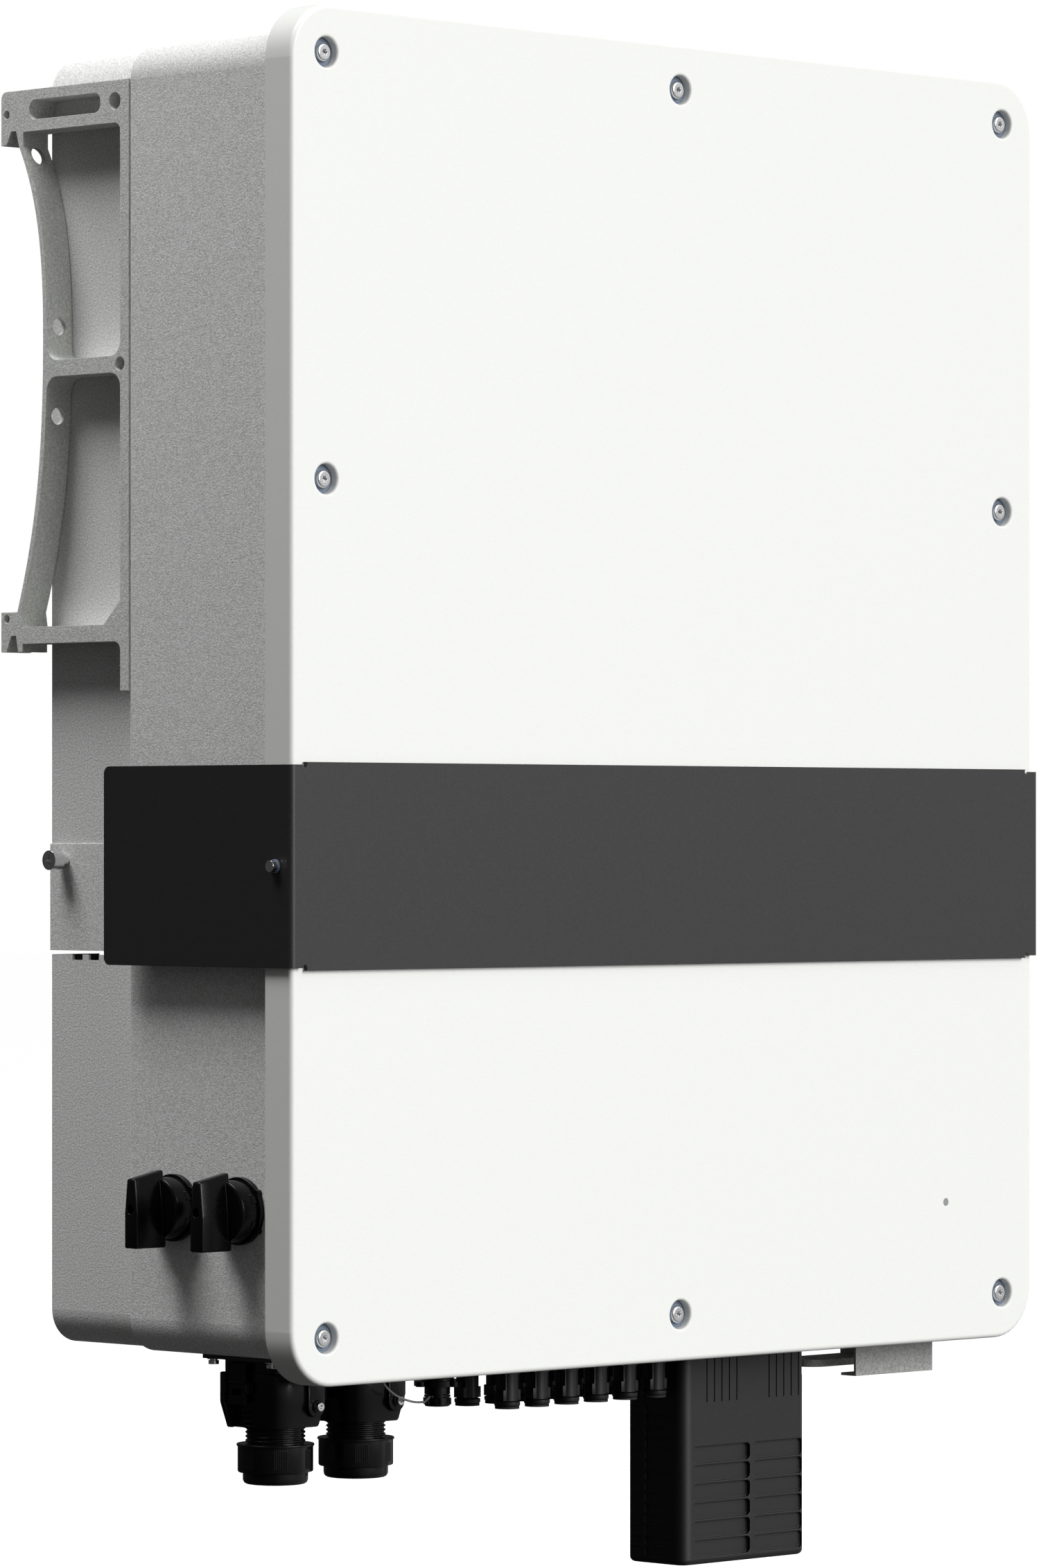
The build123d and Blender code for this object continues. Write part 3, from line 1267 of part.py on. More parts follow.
with BuildPart() as com_port:
    discs(Plane.XY.offset(com_neck_bottom_z), com_neck_radius, com_neck_drop, [com_spot])
    discs(Plane.XY.offset(housing_bottom_z), com_insert_radius, com_insert_height, [com_spot])
    discs(Plane.XY.offset(com_flange_bottom_z), com_flange_radius, com_flange_thickness, [com_spot])
    tab_spots = [
        (com_spot[0] + com_flange_radius * math.cos(turn), com_spot[1] + com_flange_radius * math.sin(turn))
        for turn in [2 * math.pi * tab / com_tab_count for tab in range(com_tab_count)]
    ]
    discs(Plane.XY.offset(com_flange_bottom_z), com_tab_radius, com_flange_thickness, tab_spots)
    discs(Plane.XY.offset(com_barrel_bottom_z), com_barrel_radius, com_barrel_height, [com_spot])
    com_bore_depth = com_barrel_height + 6
    discs(Plane.XY.offset(com_barrel_bottom_z), com_bore_radius, com_bore_depth, [com_spot], Mode.SUBTRACT)
write(com_port, "com_port")

with BuildPart() as com_cap:
    discs(Plane.XY.offset(cap_top_z - cap_height), com_barrel_radius, cap_height, [com_spot])
    fillet(com_cap.faces().sort_by(Axis.Z)[0].edges(), 1.0)
    grip_spots = [
        (com_spot[0] + com_barrel_radius * math.cos(turn), com_spot[1] + com_barrel_radius * math.sin(turn))
        for turn in [2 * math.pi * grip / cap_grip_count for grip in range(cap_grip_count)]
    ]
    discs(Plane.XY.offset(cap_top_z - cap_height + 1), cap_grip_radius, cap_height - 1, grip_spots)
    discs(Plane.XY.offset(cap_top_z), cap_neck_radius - 0.6, cap_neck_height + free_gap, [com_spot])
    discs(Plane.XY.offset(cap_top_z), com_bore_radius - free_gap, cap_neck_height + free_gap + 5, [com_spot])
write(com_cap, "com_cap")

ring_outer = cap_neck_radius + tether_ring_width
clasp_angle = math.radians(200)
clasp_radius = ring_outer + 0.6
clasp = (
    com_spot[0] + clasp_radius * math.cos(clasp_angle),
    com_spot[1] + clasp_radius * math.sin(clasp_angle),
)

with BuildPart() as tether_fittings:
    rings(Plane.XY.offset(ring_z), ring_outer, cap_neck_radius, tether_ring_thickness, [com_spot])
    discs(Plane.XY.offset(ring_z - 0.2), 1.5, tether_ring_thickness + 0.4, [clasp])
    anchor_plane = Plane.XY.offset(housing_bottom_z - anchor_thickness)
    discs(anchor_plane, anchor_radius, anchor_thickness, [anchor_spot])
    discs(Plane.XY.offset(housing_bottom_z - anchor_thickness - 2), 1.6, 2, [anchor_spot])
write(tether_fittings, "tether_fittings")

# The tether hangs from its anchor and comes back up to the clasp on the ring.
tether_top = (anchor_spot[0], anchor_spot[1], housing_bottom_z - anchor_thickness - 2)
tether_end = (clasp[0] - 1.4, clasp[1] - 0.3, ring_z + tether_ring_thickness / 2)
tether_route = [
    tether_top,
    (tether_top[0], tether_top[1], tether_top[2] - 6),
    (tether_top[0] + 5, tether_top[1] + 0.5, tether_top[2] - 14),
    (tether_top[0] + 16, tether_top[1] + 1.5, tether_top[2] - 20.5),
    (tether_top[0] + 30, tether_top[1] + 4, tether_top[2] - 24),
    (tether_top[0] + 44, tether_top[1] + 11, tether_top[2] - 25),
    (tether_end[0] - 9, tether_end[1] - 6, tether_end[2] - 1.6),
    tether_end,
]
route_points = [Vector(*point) for point in tether_route]
runs = [b - a for a, b in zip(route_points, route_points[1:])]
tether_radii = [
    0.45 * min(before.length, after.length) / math.tan(math.radians(before.get_angle(after) / 2))
    for before, after in zip(runs, runs[1:])
]
print("tether radii", [round(radius, 1) for radius in tether_radii])

with BuildPart() as com_tether:
    with BuildLine() as tether_line:
        FilletPolyline(*tether_route, radius=tether_radii)
    with BuildSketch(tether_line.wire() ^ 0) as tether_section:
        Circle(tether_radius)
    sweep(tether_section.sketch, path=tether_line.wire())
write(com_tether, "com_tether")
tether_length = tether_line.wire().length
tether_fill = com_tether.part.volume / (math.pi * tether_radius**2 * tether_length)
print("tether length", round(tether_length, 1), "volume over section times length", round(tether_fill, 4))

# ---------------------------------------------------------------- photovoltaic sockets
pv_body_bottom_z = housing_bottom_z - pv_body_drop
pv_barrel_bottom_z = pv_body_bottom_z - pv_barrel_height


def pv_row(spots):
    """One row of panel sockets, each with a flat-sided body, a round mouth and a threaded neck."""
    with BuildPart() as row:
        body_height = pv_body_drop - pv_collar_thickness
        plates(Plane.XY.offset(pv_body_bottom_z), pv_body_width, pv_body_depth, body_height, spots)
        discs(Plane.XY.offset(pv_body_bottom_z), pv_neck_radius - 0.4, body_height, spots)
        discs(Plane.XY.offset(pv_barrel_bottom_z), pv_barrel_radius, pv_barrel_height, spots)
        collar_z = housing_bottom_z - pv_collar_thickness
        discs(Plane.XY.offset(collar_z), pv_collar_radius, pv_collar_thickness, spots)
        discs(Plane.XY.offset(housing_bottom_z), pv_neck_radius, pv_neck_height, spots)
        discs(Plane.XY.offset(pv_barrel_bottom_z), pv_bore_radius, pv_bore_depth, spots, Mode.SUBTRACT)
        notch_z = pv_body_bottom_z + pv_notch_from_bottom
        notch_spots = [(x + side * pv_body_width / 2, y) for x, y in spots for side in (-1, 1)]
        plates(
            Plane.XY.offset(notch_z), 2 * pv_notch_width, pv_body_depth, pv_notch_height, notch_spots, 0,
            Mode.SUBTRACT,
        )
        groove_spots = [
            (x + side * pv_groove_spacing, y + face * pv_body_depth / 2)
            for x, y in spots for side in (-0.5, 0.5) for face in (-1, 1)
        ]
        plates(
            Plane.XY.offset(pv_body_bottom_z), pv_groove_width, 2 * pv_groove_depth, body_height,
            groove_spots, 0, Mode.SUBTRACT,
        )
    return row


write(pv_row(pv_front_spots), "pv_sockets_front")
write(pv_row(pv_rear_spots), "pv_sockets_rear")

with BuildPart() as pv_nuts:
    with BuildSketch(Plane.XY.offset(housing_bottom_z + housing_wall)) as nut_faces:
        with Locations(*pv_spots):
            RegularPolygon(pv_nut_across_flats / 2, 6, major_radius=False)
            Circle(pv_neck_radius + fit_gap, mode=Mode.SUBTRACT)
    extrude(nut_faces.sketch, amount=pv_nut_height)
write(pv_nuts, "pv_nuts")

with BuildPart() as pv_contacts:
    bore_top_z = pv_barrel_bottom_z + pv_bore_depth
    discs(Plane.XY.offset(bore_top_z - 5), pv_contact_radius, 5, pv_spots)
    discs(Plane.XY.offset(housing_bottom_z + pv_neck_height), pv_contact_radius, 8, pv_spots)
write(pv_contacts, "pv_contacts")

with BuildPart() as pv_dust_plugs:
    rim_z = pv_barrel_bottom_z - pv_plug_rim_height
    discs(Plane.XY.offset(rim_z), pv_plug_rim_radius, pv_plug_rim_height, pv_spots)
    discs(Plane.XY.offset(pv_barrel_bottom_z), pv_bore_radius - fit_gap, pv_plug_length, pv_spots)
write(pv_dust_plugs, "pv_dust_plugs")

# ---------------------------------------------------------------- battery terminals and their cover
battery_bottom_z = housing_bottom_z - battery_drop
battery_left_x = battery_x - battery_width / 2
battery_front_y = battery_y - battery_depth / 2
pocket_bottom_z = battery_bottom_z + battery_pocket_from_bottom


def pockets(plane, start, widths, between, rows, pitch, height, depth, corner):
    """Two columns of round-cornered pockets side by side, cut into the cover from a face."""
    for index, width in enumerate(widths):
        centre = start + width / 2 + index * (widths[0] + between)
        spots = [(centre, pocket_bottom_z + (row + 0.5) * pitch) for row in range(rows)]
        plates(plane, width, height, depth, spots, corner, Mode.SUBTRACT)


with BuildPart() as battery_cover:
    plates(
        Plane.XY.offset(battery_bottom_z), battery_width, battery_depth, battery_drop,
        [(battery_x, battery_y)], battery_corner,
    )
    fillet(battery_cover.faces().sort_by(Axis.Z)[0].edges(), battery_bottom_radius)
    plates(
        Plane.XY.offset(battery_bottom_z + battery_wall), battery_width - 2 * battery_wall,
        battery_depth - 2 * battery_wall, battery_drop - battery_wall, [(battery_x, battery_y)],
        battery_corner / 2, Mode.SUBTRACT,
    )
    pockets(
        front_plane(battery_front_y), battery_left_x + battery_pocket_from_left, battery_pocket_widths,
        battery_pocket_between, battery_pocket_rows, battery_pocket_pitch, battery_pocket_height,
        -battery_pocket_depth, battery_pocket_corner,
    )
    for side in (-1, 1):
        pockets(
            side_plane(battery_x + side * battery_width / 2), battery_front_y + battery_side_from_front,
            battery_side_widths, battery_side_between, battery_side_rows, battery_side_pitch,
            battery_side_height, -side * battery_side_depth, battery_side_corner,
        )
    groove_spots = [
        (battery_left_x + start + groove * battery_groove_pitch, housing_bottom_z - battery_groove_drop / 2)
        for start in battery_groove_from_left for groove in range(battery_groove_count)
    ]
    plates(
        front_plane(battery_front_y), battery_groove_width, battery_groove_drop, -battery_groove_depth,
        groove_spots, 0, Mode.SUBTRACT,
    )
    plates(
        front_plane(battery_front_y), battery_notch_width, battery_notch_drop, -battery_notch_depth,
        [(battery_x + battery_width / 2, housing_bottom_z - battery_notch_drop / 2)], 0, Mode.SUBTRACT,
    )
    discs(
        Plane.XY.offset(battery_bottom_z), battery_grommet_radius + fit_gap, battery_wall,
        battery_terminal_spots, Mode.SUBTRACT,
    )
write(battery_cover, "battery_cover")

with BuildPart() as battery_grommets:
    grommet_z = battery_bottom_z + battery_wall
    discs(Plane.XY.offset(battery_bottom_z), battery_grommet_radius, battery_wall, battery_terminal_spots)
    discs(Plane.XY.offset(grommet_z), battery_grommet_radius + 2, 2.0, battery_terminal_spots)
    grommet_recess = battery_grommet_radius - 3
    discs(Plane.XY.offset(battery_bottom_z), grommet_recess, 1.5, battery_terminal_spots, Mode.SUBTRACT)
write(battery_grommets, "battery_grommets")

with BuildPart() as battery_terminals:
    terminal_z = housing_bottom_z - battery_terminal_drop
    discs(Plane.XY.offset(terminal_z), battery_terminal_radius, battery_terminal_drop, battery_terminal_spots)
    stud_plane = Plane.XY.offset(terminal_z - battery_stud_length)
    discs(stud_plane, battery_stud_radius, battery_stud_length, battery_terminal_spots)
    discs(Plane.XY.offset(housing_bottom_z), battery_stud_radius, housing_wall + 8, battery_terminal_spots)
write(battery_terminals, "battery_terminals")

# ---------------------------------------------------------------- lower bracket
with BuildPart() as foot_channel:
    foot_top_y = foot_front_y + foot_flange
    with BuildSketch(side_plane(foot_x - foot_width / 2)) as foot_section:
        with BuildLine():
            Polyline(
                (foot_top_y, housing_bottom_z),
                (foot_front_y, housing_bottom_z),
                (foot_front_y, housing_bottom_z - foot_drop),
                (foot_top_y, housing_bottom_z - foot_drop),
                (foot_top_y, housing_bottom_z - foot_drop + foot_sheet),
                (foot_front_y + foot_sheet, housing_bottom_z - foot_drop + foot_sheet),
                (foot_front_y + foot_sheet, housing_bottom_z - foot_sheet),
                (foot_top_y, housing_bottom_z - foot_sheet),
                close=True,
            )
        make_face()
    extrude(foot_section.sketch, amount=foot_width)
    fillet(foot_channel.edges().filter_by(Axis.Z).group_by(Axis.Y)[-1], foot_sheet)
    discs(
        Plane.XY.offset(housing_bottom_z - foot_sheet), foot_screw_radius + fit_gap, foot_sheet,
        foot_screw_spots, Mode.SUBTRACT,
    )
write(foot_channel, "foot_channel")

with BuildPart() as lock_tongue:
    tongue_left_x = tongue_right_x - tongue_overlap - tongue_length
    tongue_bottom_z = housing_bottom_z - tongue_drop - tongue_thickness
    with BuildSketch(Plane.XY.offset(tongue_bottom_z)) as tongue_outline:
        with Locations(((tongue_left_x + tongue_right_x) / 2, tongue_y)):
            Rectangle(tongue_right_x - tongue_left_x, tongue_width)
        fillet(tongue_outline.vertices().group_by(Axis.X)[0], tongue_width / 3)
        with Locations((tongue_left_x + 12, tongue_y)):
            Circle(tongue_slot_radius, mode=Mode.SUBTRACT)
        with Locations((tongue_left_x, tongue_y)):
            Rectangle(24, 1.4 * tongue_slot_radius, mode=Mode.SUBTRACT)
    extrude(tongue_outline.sketch, amount=tongue_thickness)
    plates(
        Plane.XY.offset(tongue_bottom_z), tongue_thickness, tongue_width, tongue_drop + tongue_thickness,
        [(tongue_right_x - tongue_overlap, tongue_y)],
    )
    plates(
        Plane.XY.offset(housing_bottom_z - tongue_thickness / 2), tongue_overlap, tongue_width,
        tongue_thickness / 2, [(tongue_right_x - tongue_overlap / 2, tongue_y)],
    )
    discs(
        Plane.XY.offset(housing_bottom_z - tongue_thickness / 2), foot_screw_radius + fit_gap,
        tongue_thickness / 2, tongue_screw_spots, Mode.SUBTRACT,
    )
write(lock_tongue, "lock_tongue")

with BuildPart() as bottom_screws:
    for spots, sheet in ((foot_screw_spots, foot_sheet), (tongue_screw_spots, tongue_thickness / 2)):
        head_z = housing_bottom_z - sheet - foot_screw_head_height
        discs(Plane.XY.offset(head_z), foot_screw_head_radius, foot_screw_head_height, spots)
        discs(Plane.XY.offset(head_z), foot_screw_radius, foot_screw_head_height + sheet + 8, spots)
        discs(Plane.XY.offset(head_z), 1.5, 1.6, spots, Mode.SUBTRACT)
    plate_head_z = plate_bottom_z - plate_screw_head_height
    head_plane = Plane.XY.offset(plate_head_z)
    discs(head_plane, plate_screw_head_radius, plate_screw_head_height - 1.2, plate_screw_spots)
    discs(head_plane, plate_screw_radius, plate_screw_head_height + 10, plate_screw_spots)
    discs(Plane.XY.offset(plate_bottom_z - 0.6), plate_screw_head_radius + 0.6, 0.6, plate_screw_spots)
write(bottom_screws, "bottom_screws")

# ---------------------------------------------------------------- inside the housing
board_back_y = housing_back_y - housing_wall - board_standoff_height
board_front_y = board_back_y - board_thickness
power_board_width = housing_width - 2 * board_margin - 2 * switch_box_length
power_board_height = housing_height - 2 * board_margin
control_board_z = housing_top_z - control_board_from_top - control_board_height / 2
choke_spots = [(choke_pitch * (index - 1), housing_bottom_z + 150) for index in range(3)]
capacitor_spots = [(capacitor_pitch * (index - 3.5), cover_mid_z) for index in range(8)]
standoff_spots = [
    (x * (power_board_width / 2 - 12), cover_mid_z + z * (power_board_height / 2 - 12))
    for x in (-1, 1) for z in (-1, 1)
]
control_post_spots = [
    (x * (control_board_width / 2 - 10), control_board_z + z * (control_board_height / 2 - 10))
    for x in (-1, 1) for z in (-1, 1)
]

with BuildPart() as power_board:
    plates(
        front_plane(board_back_y), power_board_width, power_board_height, board_thickness,
        [(0, cover_mid_z)], 4,
    )
write(power_board, "power_board")

with BuildPart() as control_board:
    plates(
        front_plane(board_front_y - control_board_lift), control_board_width, control_board_height,
        board_thickness, [(0, control_board_z)], 4,
    )
write(control_board, "control_board")

with BuildPart() as board_posts:
    post_plane = front_plane(housing_back_y - housing_wall)
    discs(post_plane, board_standoff_radius, board_standoff_height, standoff_spots)
    discs(front_plane(board_front_y), board_standoff_radius, control_board_lift, control_post_spots)
write(board_posts, "board_posts")

with BuildPart() as chokes:
    plates(front_plane(board_front_y), choke_side, choke_side, choke_height, choke_spots, 6)
write(chokes, "chokes")

with BuildPart() as capacitors:
    discs(front_plane(board_front_y), capacitor_radius, capacitor_height, capacitor_spots)
    fillet(capacitors.faces().filter_by(Axis.Y).group_by(Axis.Y)[0].edges(), 2.0)
write(capacitors, "capacitors")
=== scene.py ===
# %% [markdown]
# # A wall-hung string inverter
# The real object is a painted aluminium casting with a shallow steel cover screwed to its front, a black
# band folded round the cover, two extruded hanger brackets and a row of black connectors underneath.
# The engineering model already holds every part in its place, so this lesson loads it as a fixed frame
# and works on what the eye sees: the studio, the finishes, and the small moulded parts in fine detail.

import json
import math

import bmesh
import bpy
from mathutils import Matrix, Vector


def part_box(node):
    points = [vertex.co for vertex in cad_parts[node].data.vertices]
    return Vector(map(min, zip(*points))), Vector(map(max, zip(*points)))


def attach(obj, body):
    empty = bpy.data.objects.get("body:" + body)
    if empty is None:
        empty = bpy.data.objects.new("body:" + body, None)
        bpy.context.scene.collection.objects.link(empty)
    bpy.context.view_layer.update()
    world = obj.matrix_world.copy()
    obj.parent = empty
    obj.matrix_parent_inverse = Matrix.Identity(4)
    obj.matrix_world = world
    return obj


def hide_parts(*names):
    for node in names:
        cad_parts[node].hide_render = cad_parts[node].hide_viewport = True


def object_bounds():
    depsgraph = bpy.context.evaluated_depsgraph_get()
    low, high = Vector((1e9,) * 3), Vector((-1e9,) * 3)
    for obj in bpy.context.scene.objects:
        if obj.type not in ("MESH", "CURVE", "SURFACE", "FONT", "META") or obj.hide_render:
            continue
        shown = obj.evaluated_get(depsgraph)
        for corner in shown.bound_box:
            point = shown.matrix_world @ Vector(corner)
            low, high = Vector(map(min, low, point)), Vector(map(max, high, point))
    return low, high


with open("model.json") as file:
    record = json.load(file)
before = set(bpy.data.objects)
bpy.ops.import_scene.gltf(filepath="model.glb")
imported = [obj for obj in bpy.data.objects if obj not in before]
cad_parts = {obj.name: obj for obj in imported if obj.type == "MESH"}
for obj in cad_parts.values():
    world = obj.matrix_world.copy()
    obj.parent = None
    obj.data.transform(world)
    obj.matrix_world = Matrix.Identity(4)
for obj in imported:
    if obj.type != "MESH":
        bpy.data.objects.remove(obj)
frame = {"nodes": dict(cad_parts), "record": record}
cad_low, cad_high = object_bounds()
nodes = frame["nodes"]
slot_of_node = {part["node"]: part["material_slot"] for part in frame["record"]["subparts"]}
MM = 0.001
print("frame loaded:", len(nodes), "nodes, box", [round(size, 4) for size in cad_high - cad_low])

# %% [markdown]
# ## The studio
# A catalogue picture of such a unit is taken level with its middle, from a quarter to the left, with a
# long lens so that upright edges stay upright. A soft frontal key keeps the cover almost white, a weaker
# light from above and behind the left side draws the shadows of the knobs, and the underside is left
# dark. The camera stands on the diagonal and is aimed level; the lens shift frames the unit.

# %% Camera
CAMERA_PLACE = (-2.7992, -2.8966, -0.3785)
camera_data = bpy.data.cameras.new("camera")
camera_data.lens = 164.41
camera_data.sensor_width = 36.0
camera_data.shift_x = 0.01525
camera_data.shift_y = 0.0358
camera = bpy.data.objects.new("camera", camera_data)
camera.location = CAMERA_PLACE
camera.rotation_euler = (math.radians(90), 0, math.radians(-45))
bpy.context.scene.collection.objects.link(camera)
bpy.context.scene.camera = camera
bpy.context.scene.view_settings.view_transform = "Standard"
print("camera at", CAMERA_PLACE, "lens", camera_data.lens, "mm")


# %% Lights
def add_light(name, kind, place, aim, power, size, colour=(1, 1, 1)):
    """A light at a place, turned to face a point."""
    data = bpy.data.lights.new(name, kind)
    data.energy = power
    data.color = colour
    if kind == "SUN":
        data.angle = size
    else:
        data.shape = "RECTANGLE"
        data.size, data.size_y = size
    light = bpy.data.objects.new(name, data)
    light.location = place
    light.rotation_euler = (Vector(aim) - Vector(place)).to_track_quat("-Z", "Y").to_euler()
    bpy.context.scene.collection.objects.link(light)
    return light


middle = (cad_low + cad_high) / 2
KEY_STRENGTH = 2.33
KEY_SPREAD = math.radians(40)
OVERHEAD_WATTS = 160
OVERHEAD_SIZE = (2.0, 2.0)
add_light("key", "SUN", (1.2, -5.0, 2.0), (0, 0, 0), KEY_STRENGTH, KEY_SPREAD)
add_light("overhead", "AREA", (-1.9, 0.9, 3.6), middle, OVERHEAD_WATTS, OVERHEAD_SIZE)

# %% [markdown]
# The world is white to the camera, for the clean backdrop, and a gentle gradient to everything else:
# light from the upper half, almost nothing from below, and several times as much from the front right
# as from the left, so that black parts shine on their fronts and stay deep black on their left. The
# floor is pale and far below the unit, which hangs on its wall rail, and it sends no light back up.

# %% World and floor
world = bpy.data.worlds.new("studio")
world.use_nodes = True
bpy.context.scene.world = world
sky = world.node_tree
backdrop = sky.nodes["Background"]
direction = sky.nodes.new("ShaderNodeTexCoord")
height = sky.nodes.new("ShaderNodeSeparateXYZ")
ramp = sky.nodes.new("ShaderNodeMapRange")
RANGE_LABELS = ("From Min", "From Max", "To Min", "To Max")
for label, number in zip(RANGE_LABELS, (-0.3, 0.9, 0.22, 0.92)):
    ramp.inputs[label].default_value = number
toward = sky.nodes.new("ShaderNodeVectorMath")
toward.operation = "DOT_PRODUCT"
toward.inputs[1].default_value = (math.sqrt(0.5), -math.sqrt(0.5), 0)
side = sky.nodes.new("ShaderNodeMapRange")
for label, number in zip(RANGE_LABELS, (0.0, 0.75, 0.12, 1.35)):
    side.inputs[label].default_value = number
strength = sky.nodes.new("ShaderNodeMath")
strength.operation = "MULTIPLY"
fill = sky.nodes.new("ShaderNodeBackground")
seen = sky.nodes.new("ShaderNodeLightPath")
mixer = sky.nodes.new("ShaderNodeMixShader")
sky.links.new(direction.outputs["Generated"], height.inputs[0])
sky.links.new(height.outputs["Z"], ramp.inputs["Value"])
sky.links.new(direction.outputs["Generated"], toward.inputs[0])
sky.links.new(toward.outputs["Value"], side.inputs["Value"])
sky.links.new(ramp.outputs[0], strength.inputs[0])
sky.links.new(side.outputs[0], strength.inputs[1])
sky.links.new(strength.outputs[0], fill.inputs["Strength"])
sky.links.new(seen.outputs["Is Camera Ray"], mixer.inputs["Fac"])
sky.links.new(fill.outputs[0], mixer.inputs[1])
sky.links.new(backdrop.outputs[0], mixer.inputs[2])
sky.links.new(mixer.outputs[0], sky.nodes["World Output"].inputs["Surface"])
fill.inputs["Color"].default_value = (1, 1, 1, 1)
backdrop.inputs["Color"].default_value = (1, 1, 1, 1)
backdrop.inputs["Strength"].default_value = 1.0

FLOOR_DROP = 0.3
floor_mesh = bmesh.new()
bmesh.ops.create_circle(floor_mesh, cap_ends=True, radius=40, segments=64)
bmesh.ops.translate(floor_mesh, verts=floor_mesh.verts, vec=(0, 0, cad_low.z - FLOOR_DROP))
floor_data = bpy.data.meshes.new("floor")
floor_mesh.to_mesh(floor_data)
floor_mesh.free()
floor = bpy.data.objects.new("floor", floor_data)
bpy.context.scene.collection.objects.link(floor)
floor.visible_diffuse = False
floor.visible_glossy = False
print("floor", round(floor_data.vertices[0].co.z, 3), "m below the seat line")

# %% [markdown]
# ## The cap's tether
# The port cap is held by a thin nylon lead: a short loop that leaves its anchor under the housing, sags
# and comes back up to the ring under the port. A lead of fixed length is best drawn as one smooth curve
# through few control points, with a round bevel, because then its length can be measured and its bends
# stay gentle.

# %% Tether
TETHER_TOP = (-188.0, -198.5, -651.2)
TETHER_END = (-121.94, -169.53, -675.55)
TETHER_DROPS = [(0, 0, -6), (5, 0.5, -14), (16, 1.5, -20.5), (30, 4, -24), (44, 11, -25)]
TETHER_RISE = (-9, -6, -1.6)
TETHER_DIAMETER = 0.0012
route = [Vector(TETHER_TOP)]
route += [Vector(TETHER_TOP) + Vector(drop) for drop in TETHER_DROPS]
route += [Vector(TETHER_END) + Vector(TETHER_RISE), Vector(TETHER_END)]
tether_curve = bpy.data.curves.new("cap_tether", "CURVE")
tether_curve.dimensions = "3D"
tether_curve.bevel_depth = 1.0
tether_curve.bevel_resolution = 4
tether_curve.resolution_u = 16
tether_curve.use_fill_caps = True
line = tether_curve.splines.new("NURBS")
line.points.add(len(route) - 1)
for point, place in zip(line.points, route):
    point.radius = TETHER_DIAMETER / 2
    point.co = (*(place * MM), 1)
line.order_u = 3
line.use_endpoint_u = True
tether = bpy.data.objects.new("cap_tether", tether_curve)
bpy.context.scene.collection.objects.link(tether)
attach(tether, "root")
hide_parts("com_tether")
print("tether through", len(route), "points")


# %% [markdown]
# ## Shared effects
# Two effects come back in most finishes, so each is one node group. `fine_grain` is the orange peel of a
# powder coat or the spark texture of a mould: two noises at sizes given in millimetres, one for a height and
# one for a colour speckle. `broken_edge` softens the normal close to an edge, as paint and moulded plastic
# never have a knife edge, and gives a mask there that the finishes use for a painted highlight along edges.


# %% Node group helpers
def new_group(name, inputs, outputs):
    """An empty shader group with float, colour or vector sockets."""
    group = bpy.data.node_groups.new(name, "ShaderNodeTree")
    kinds = {"float": "NodeSocketFloat", "colour": "NodeSocketColor", "vector": "NodeSocketVector"}
    for label, kind, value in inputs:
        socket = group.interface.new_socket(label, in_out="INPUT", socket_type=kinds[kind])
        socket.default_value = value
    for label, kind in outputs:
        group.interface.new_socket(label, in_out="OUTPUT", socket_type=kinds[kind])
    entry = group.nodes.new("NodeGroupInput")
    leave = group.nodes.new("NodeGroupOutput")
    return group, entry, leave


def math_node(tree, operation, first, second):
    """A math node fed by sockets or by plain numbers."""
    node = tree.nodes.new("ShaderNodeMath")
    node.operation = operation
    for socket, value in zip(node.inputs, (first, second)):
        if isinstance(value, (int, float)):
            socket.default_value = value
        else:
            tree.links.new(value, socket)
    return node.outputs[0]


def noise_node(tree, vector, scale, detail, roughness=0.6):
    """A noise texture whose scale is a number or a socket."""
    noise = tree.nodes.new("ShaderNodeTexNoise")
    noise.inputs["Detail"].default_value = detail
    noise.inputs["Roughness"].default_value = roughness
    tree.links.new(vector, noise.inputs["Vector"])
    if isinstance(scale, (int, float)):
        noise.inputs["Scale"].default_value = scale
    else:
        tree.links.new(scale, noise.inputs["Scale"])
    return noise.outputs["Fac"]


def mix_colour(tree, factor, first, second):
    """Blend of two colours, each a socket or a plain RGB."""
    mix = tree.nodes.new("ShaderNodeMix")
    mix.data_type = "RGBA"
    tree.links.new(factor, mix.inputs["Factor"])
    for label, value in (("A", first), ("B", second)):
        socket = [s for s in mix.inputs if s.name == label and s.type == "RGBA"][0]
        if isinstance(value, tuple):
            socket.default_value = (*value, 1)
        else:
            tree.links.new(value, socket)
    return [s for s in mix.outputs if s.type == "RGBA"][0]


def map_range(tree, value, low, high, to_low, to_high):
    """Rescale a value from one range to another, held inside it."""
    node = tree.nodes.new("ShaderNodeMapRange")
    for label, number in (("From Min", low), ("From Max", high), ("To Min", to_low), ("To Max", to_high)):
        node.inputs[label].default_value = number
    tree.links.new(value, node.inputs["Value"])
    return node.outputs[0]


# %% The grain group
grain, grain_in, grain_out = new_group(
    "fine_grain",
    [("Grain mm", "float", 0.5), ("Speckle mm", "float", 1.5), ("Cloud mm", "float", 90.0)],
    [("Height", "float"), ("Speckle", "float"), ("Cloud", "float")],
)
where = grain.nodes.new("ShaderNodeTexCoord").outputs["Object"]
layers = (("Grain mm", "Height", 2), ("Speckle mm", "Speckle", 3), ("Cloud mm", "Cloud", 4))
for size_label, out_label, detail in layers:
    scale = math_node(grain, "DIVIDE", 1000.0, grain_in.outputs[size_label])
    grain.links.new(noise_node(grain, where, scale, detail), grain_out.inputs[out_label])
print("group", grain.name, [s.name for s in grain.interface.items_tree])

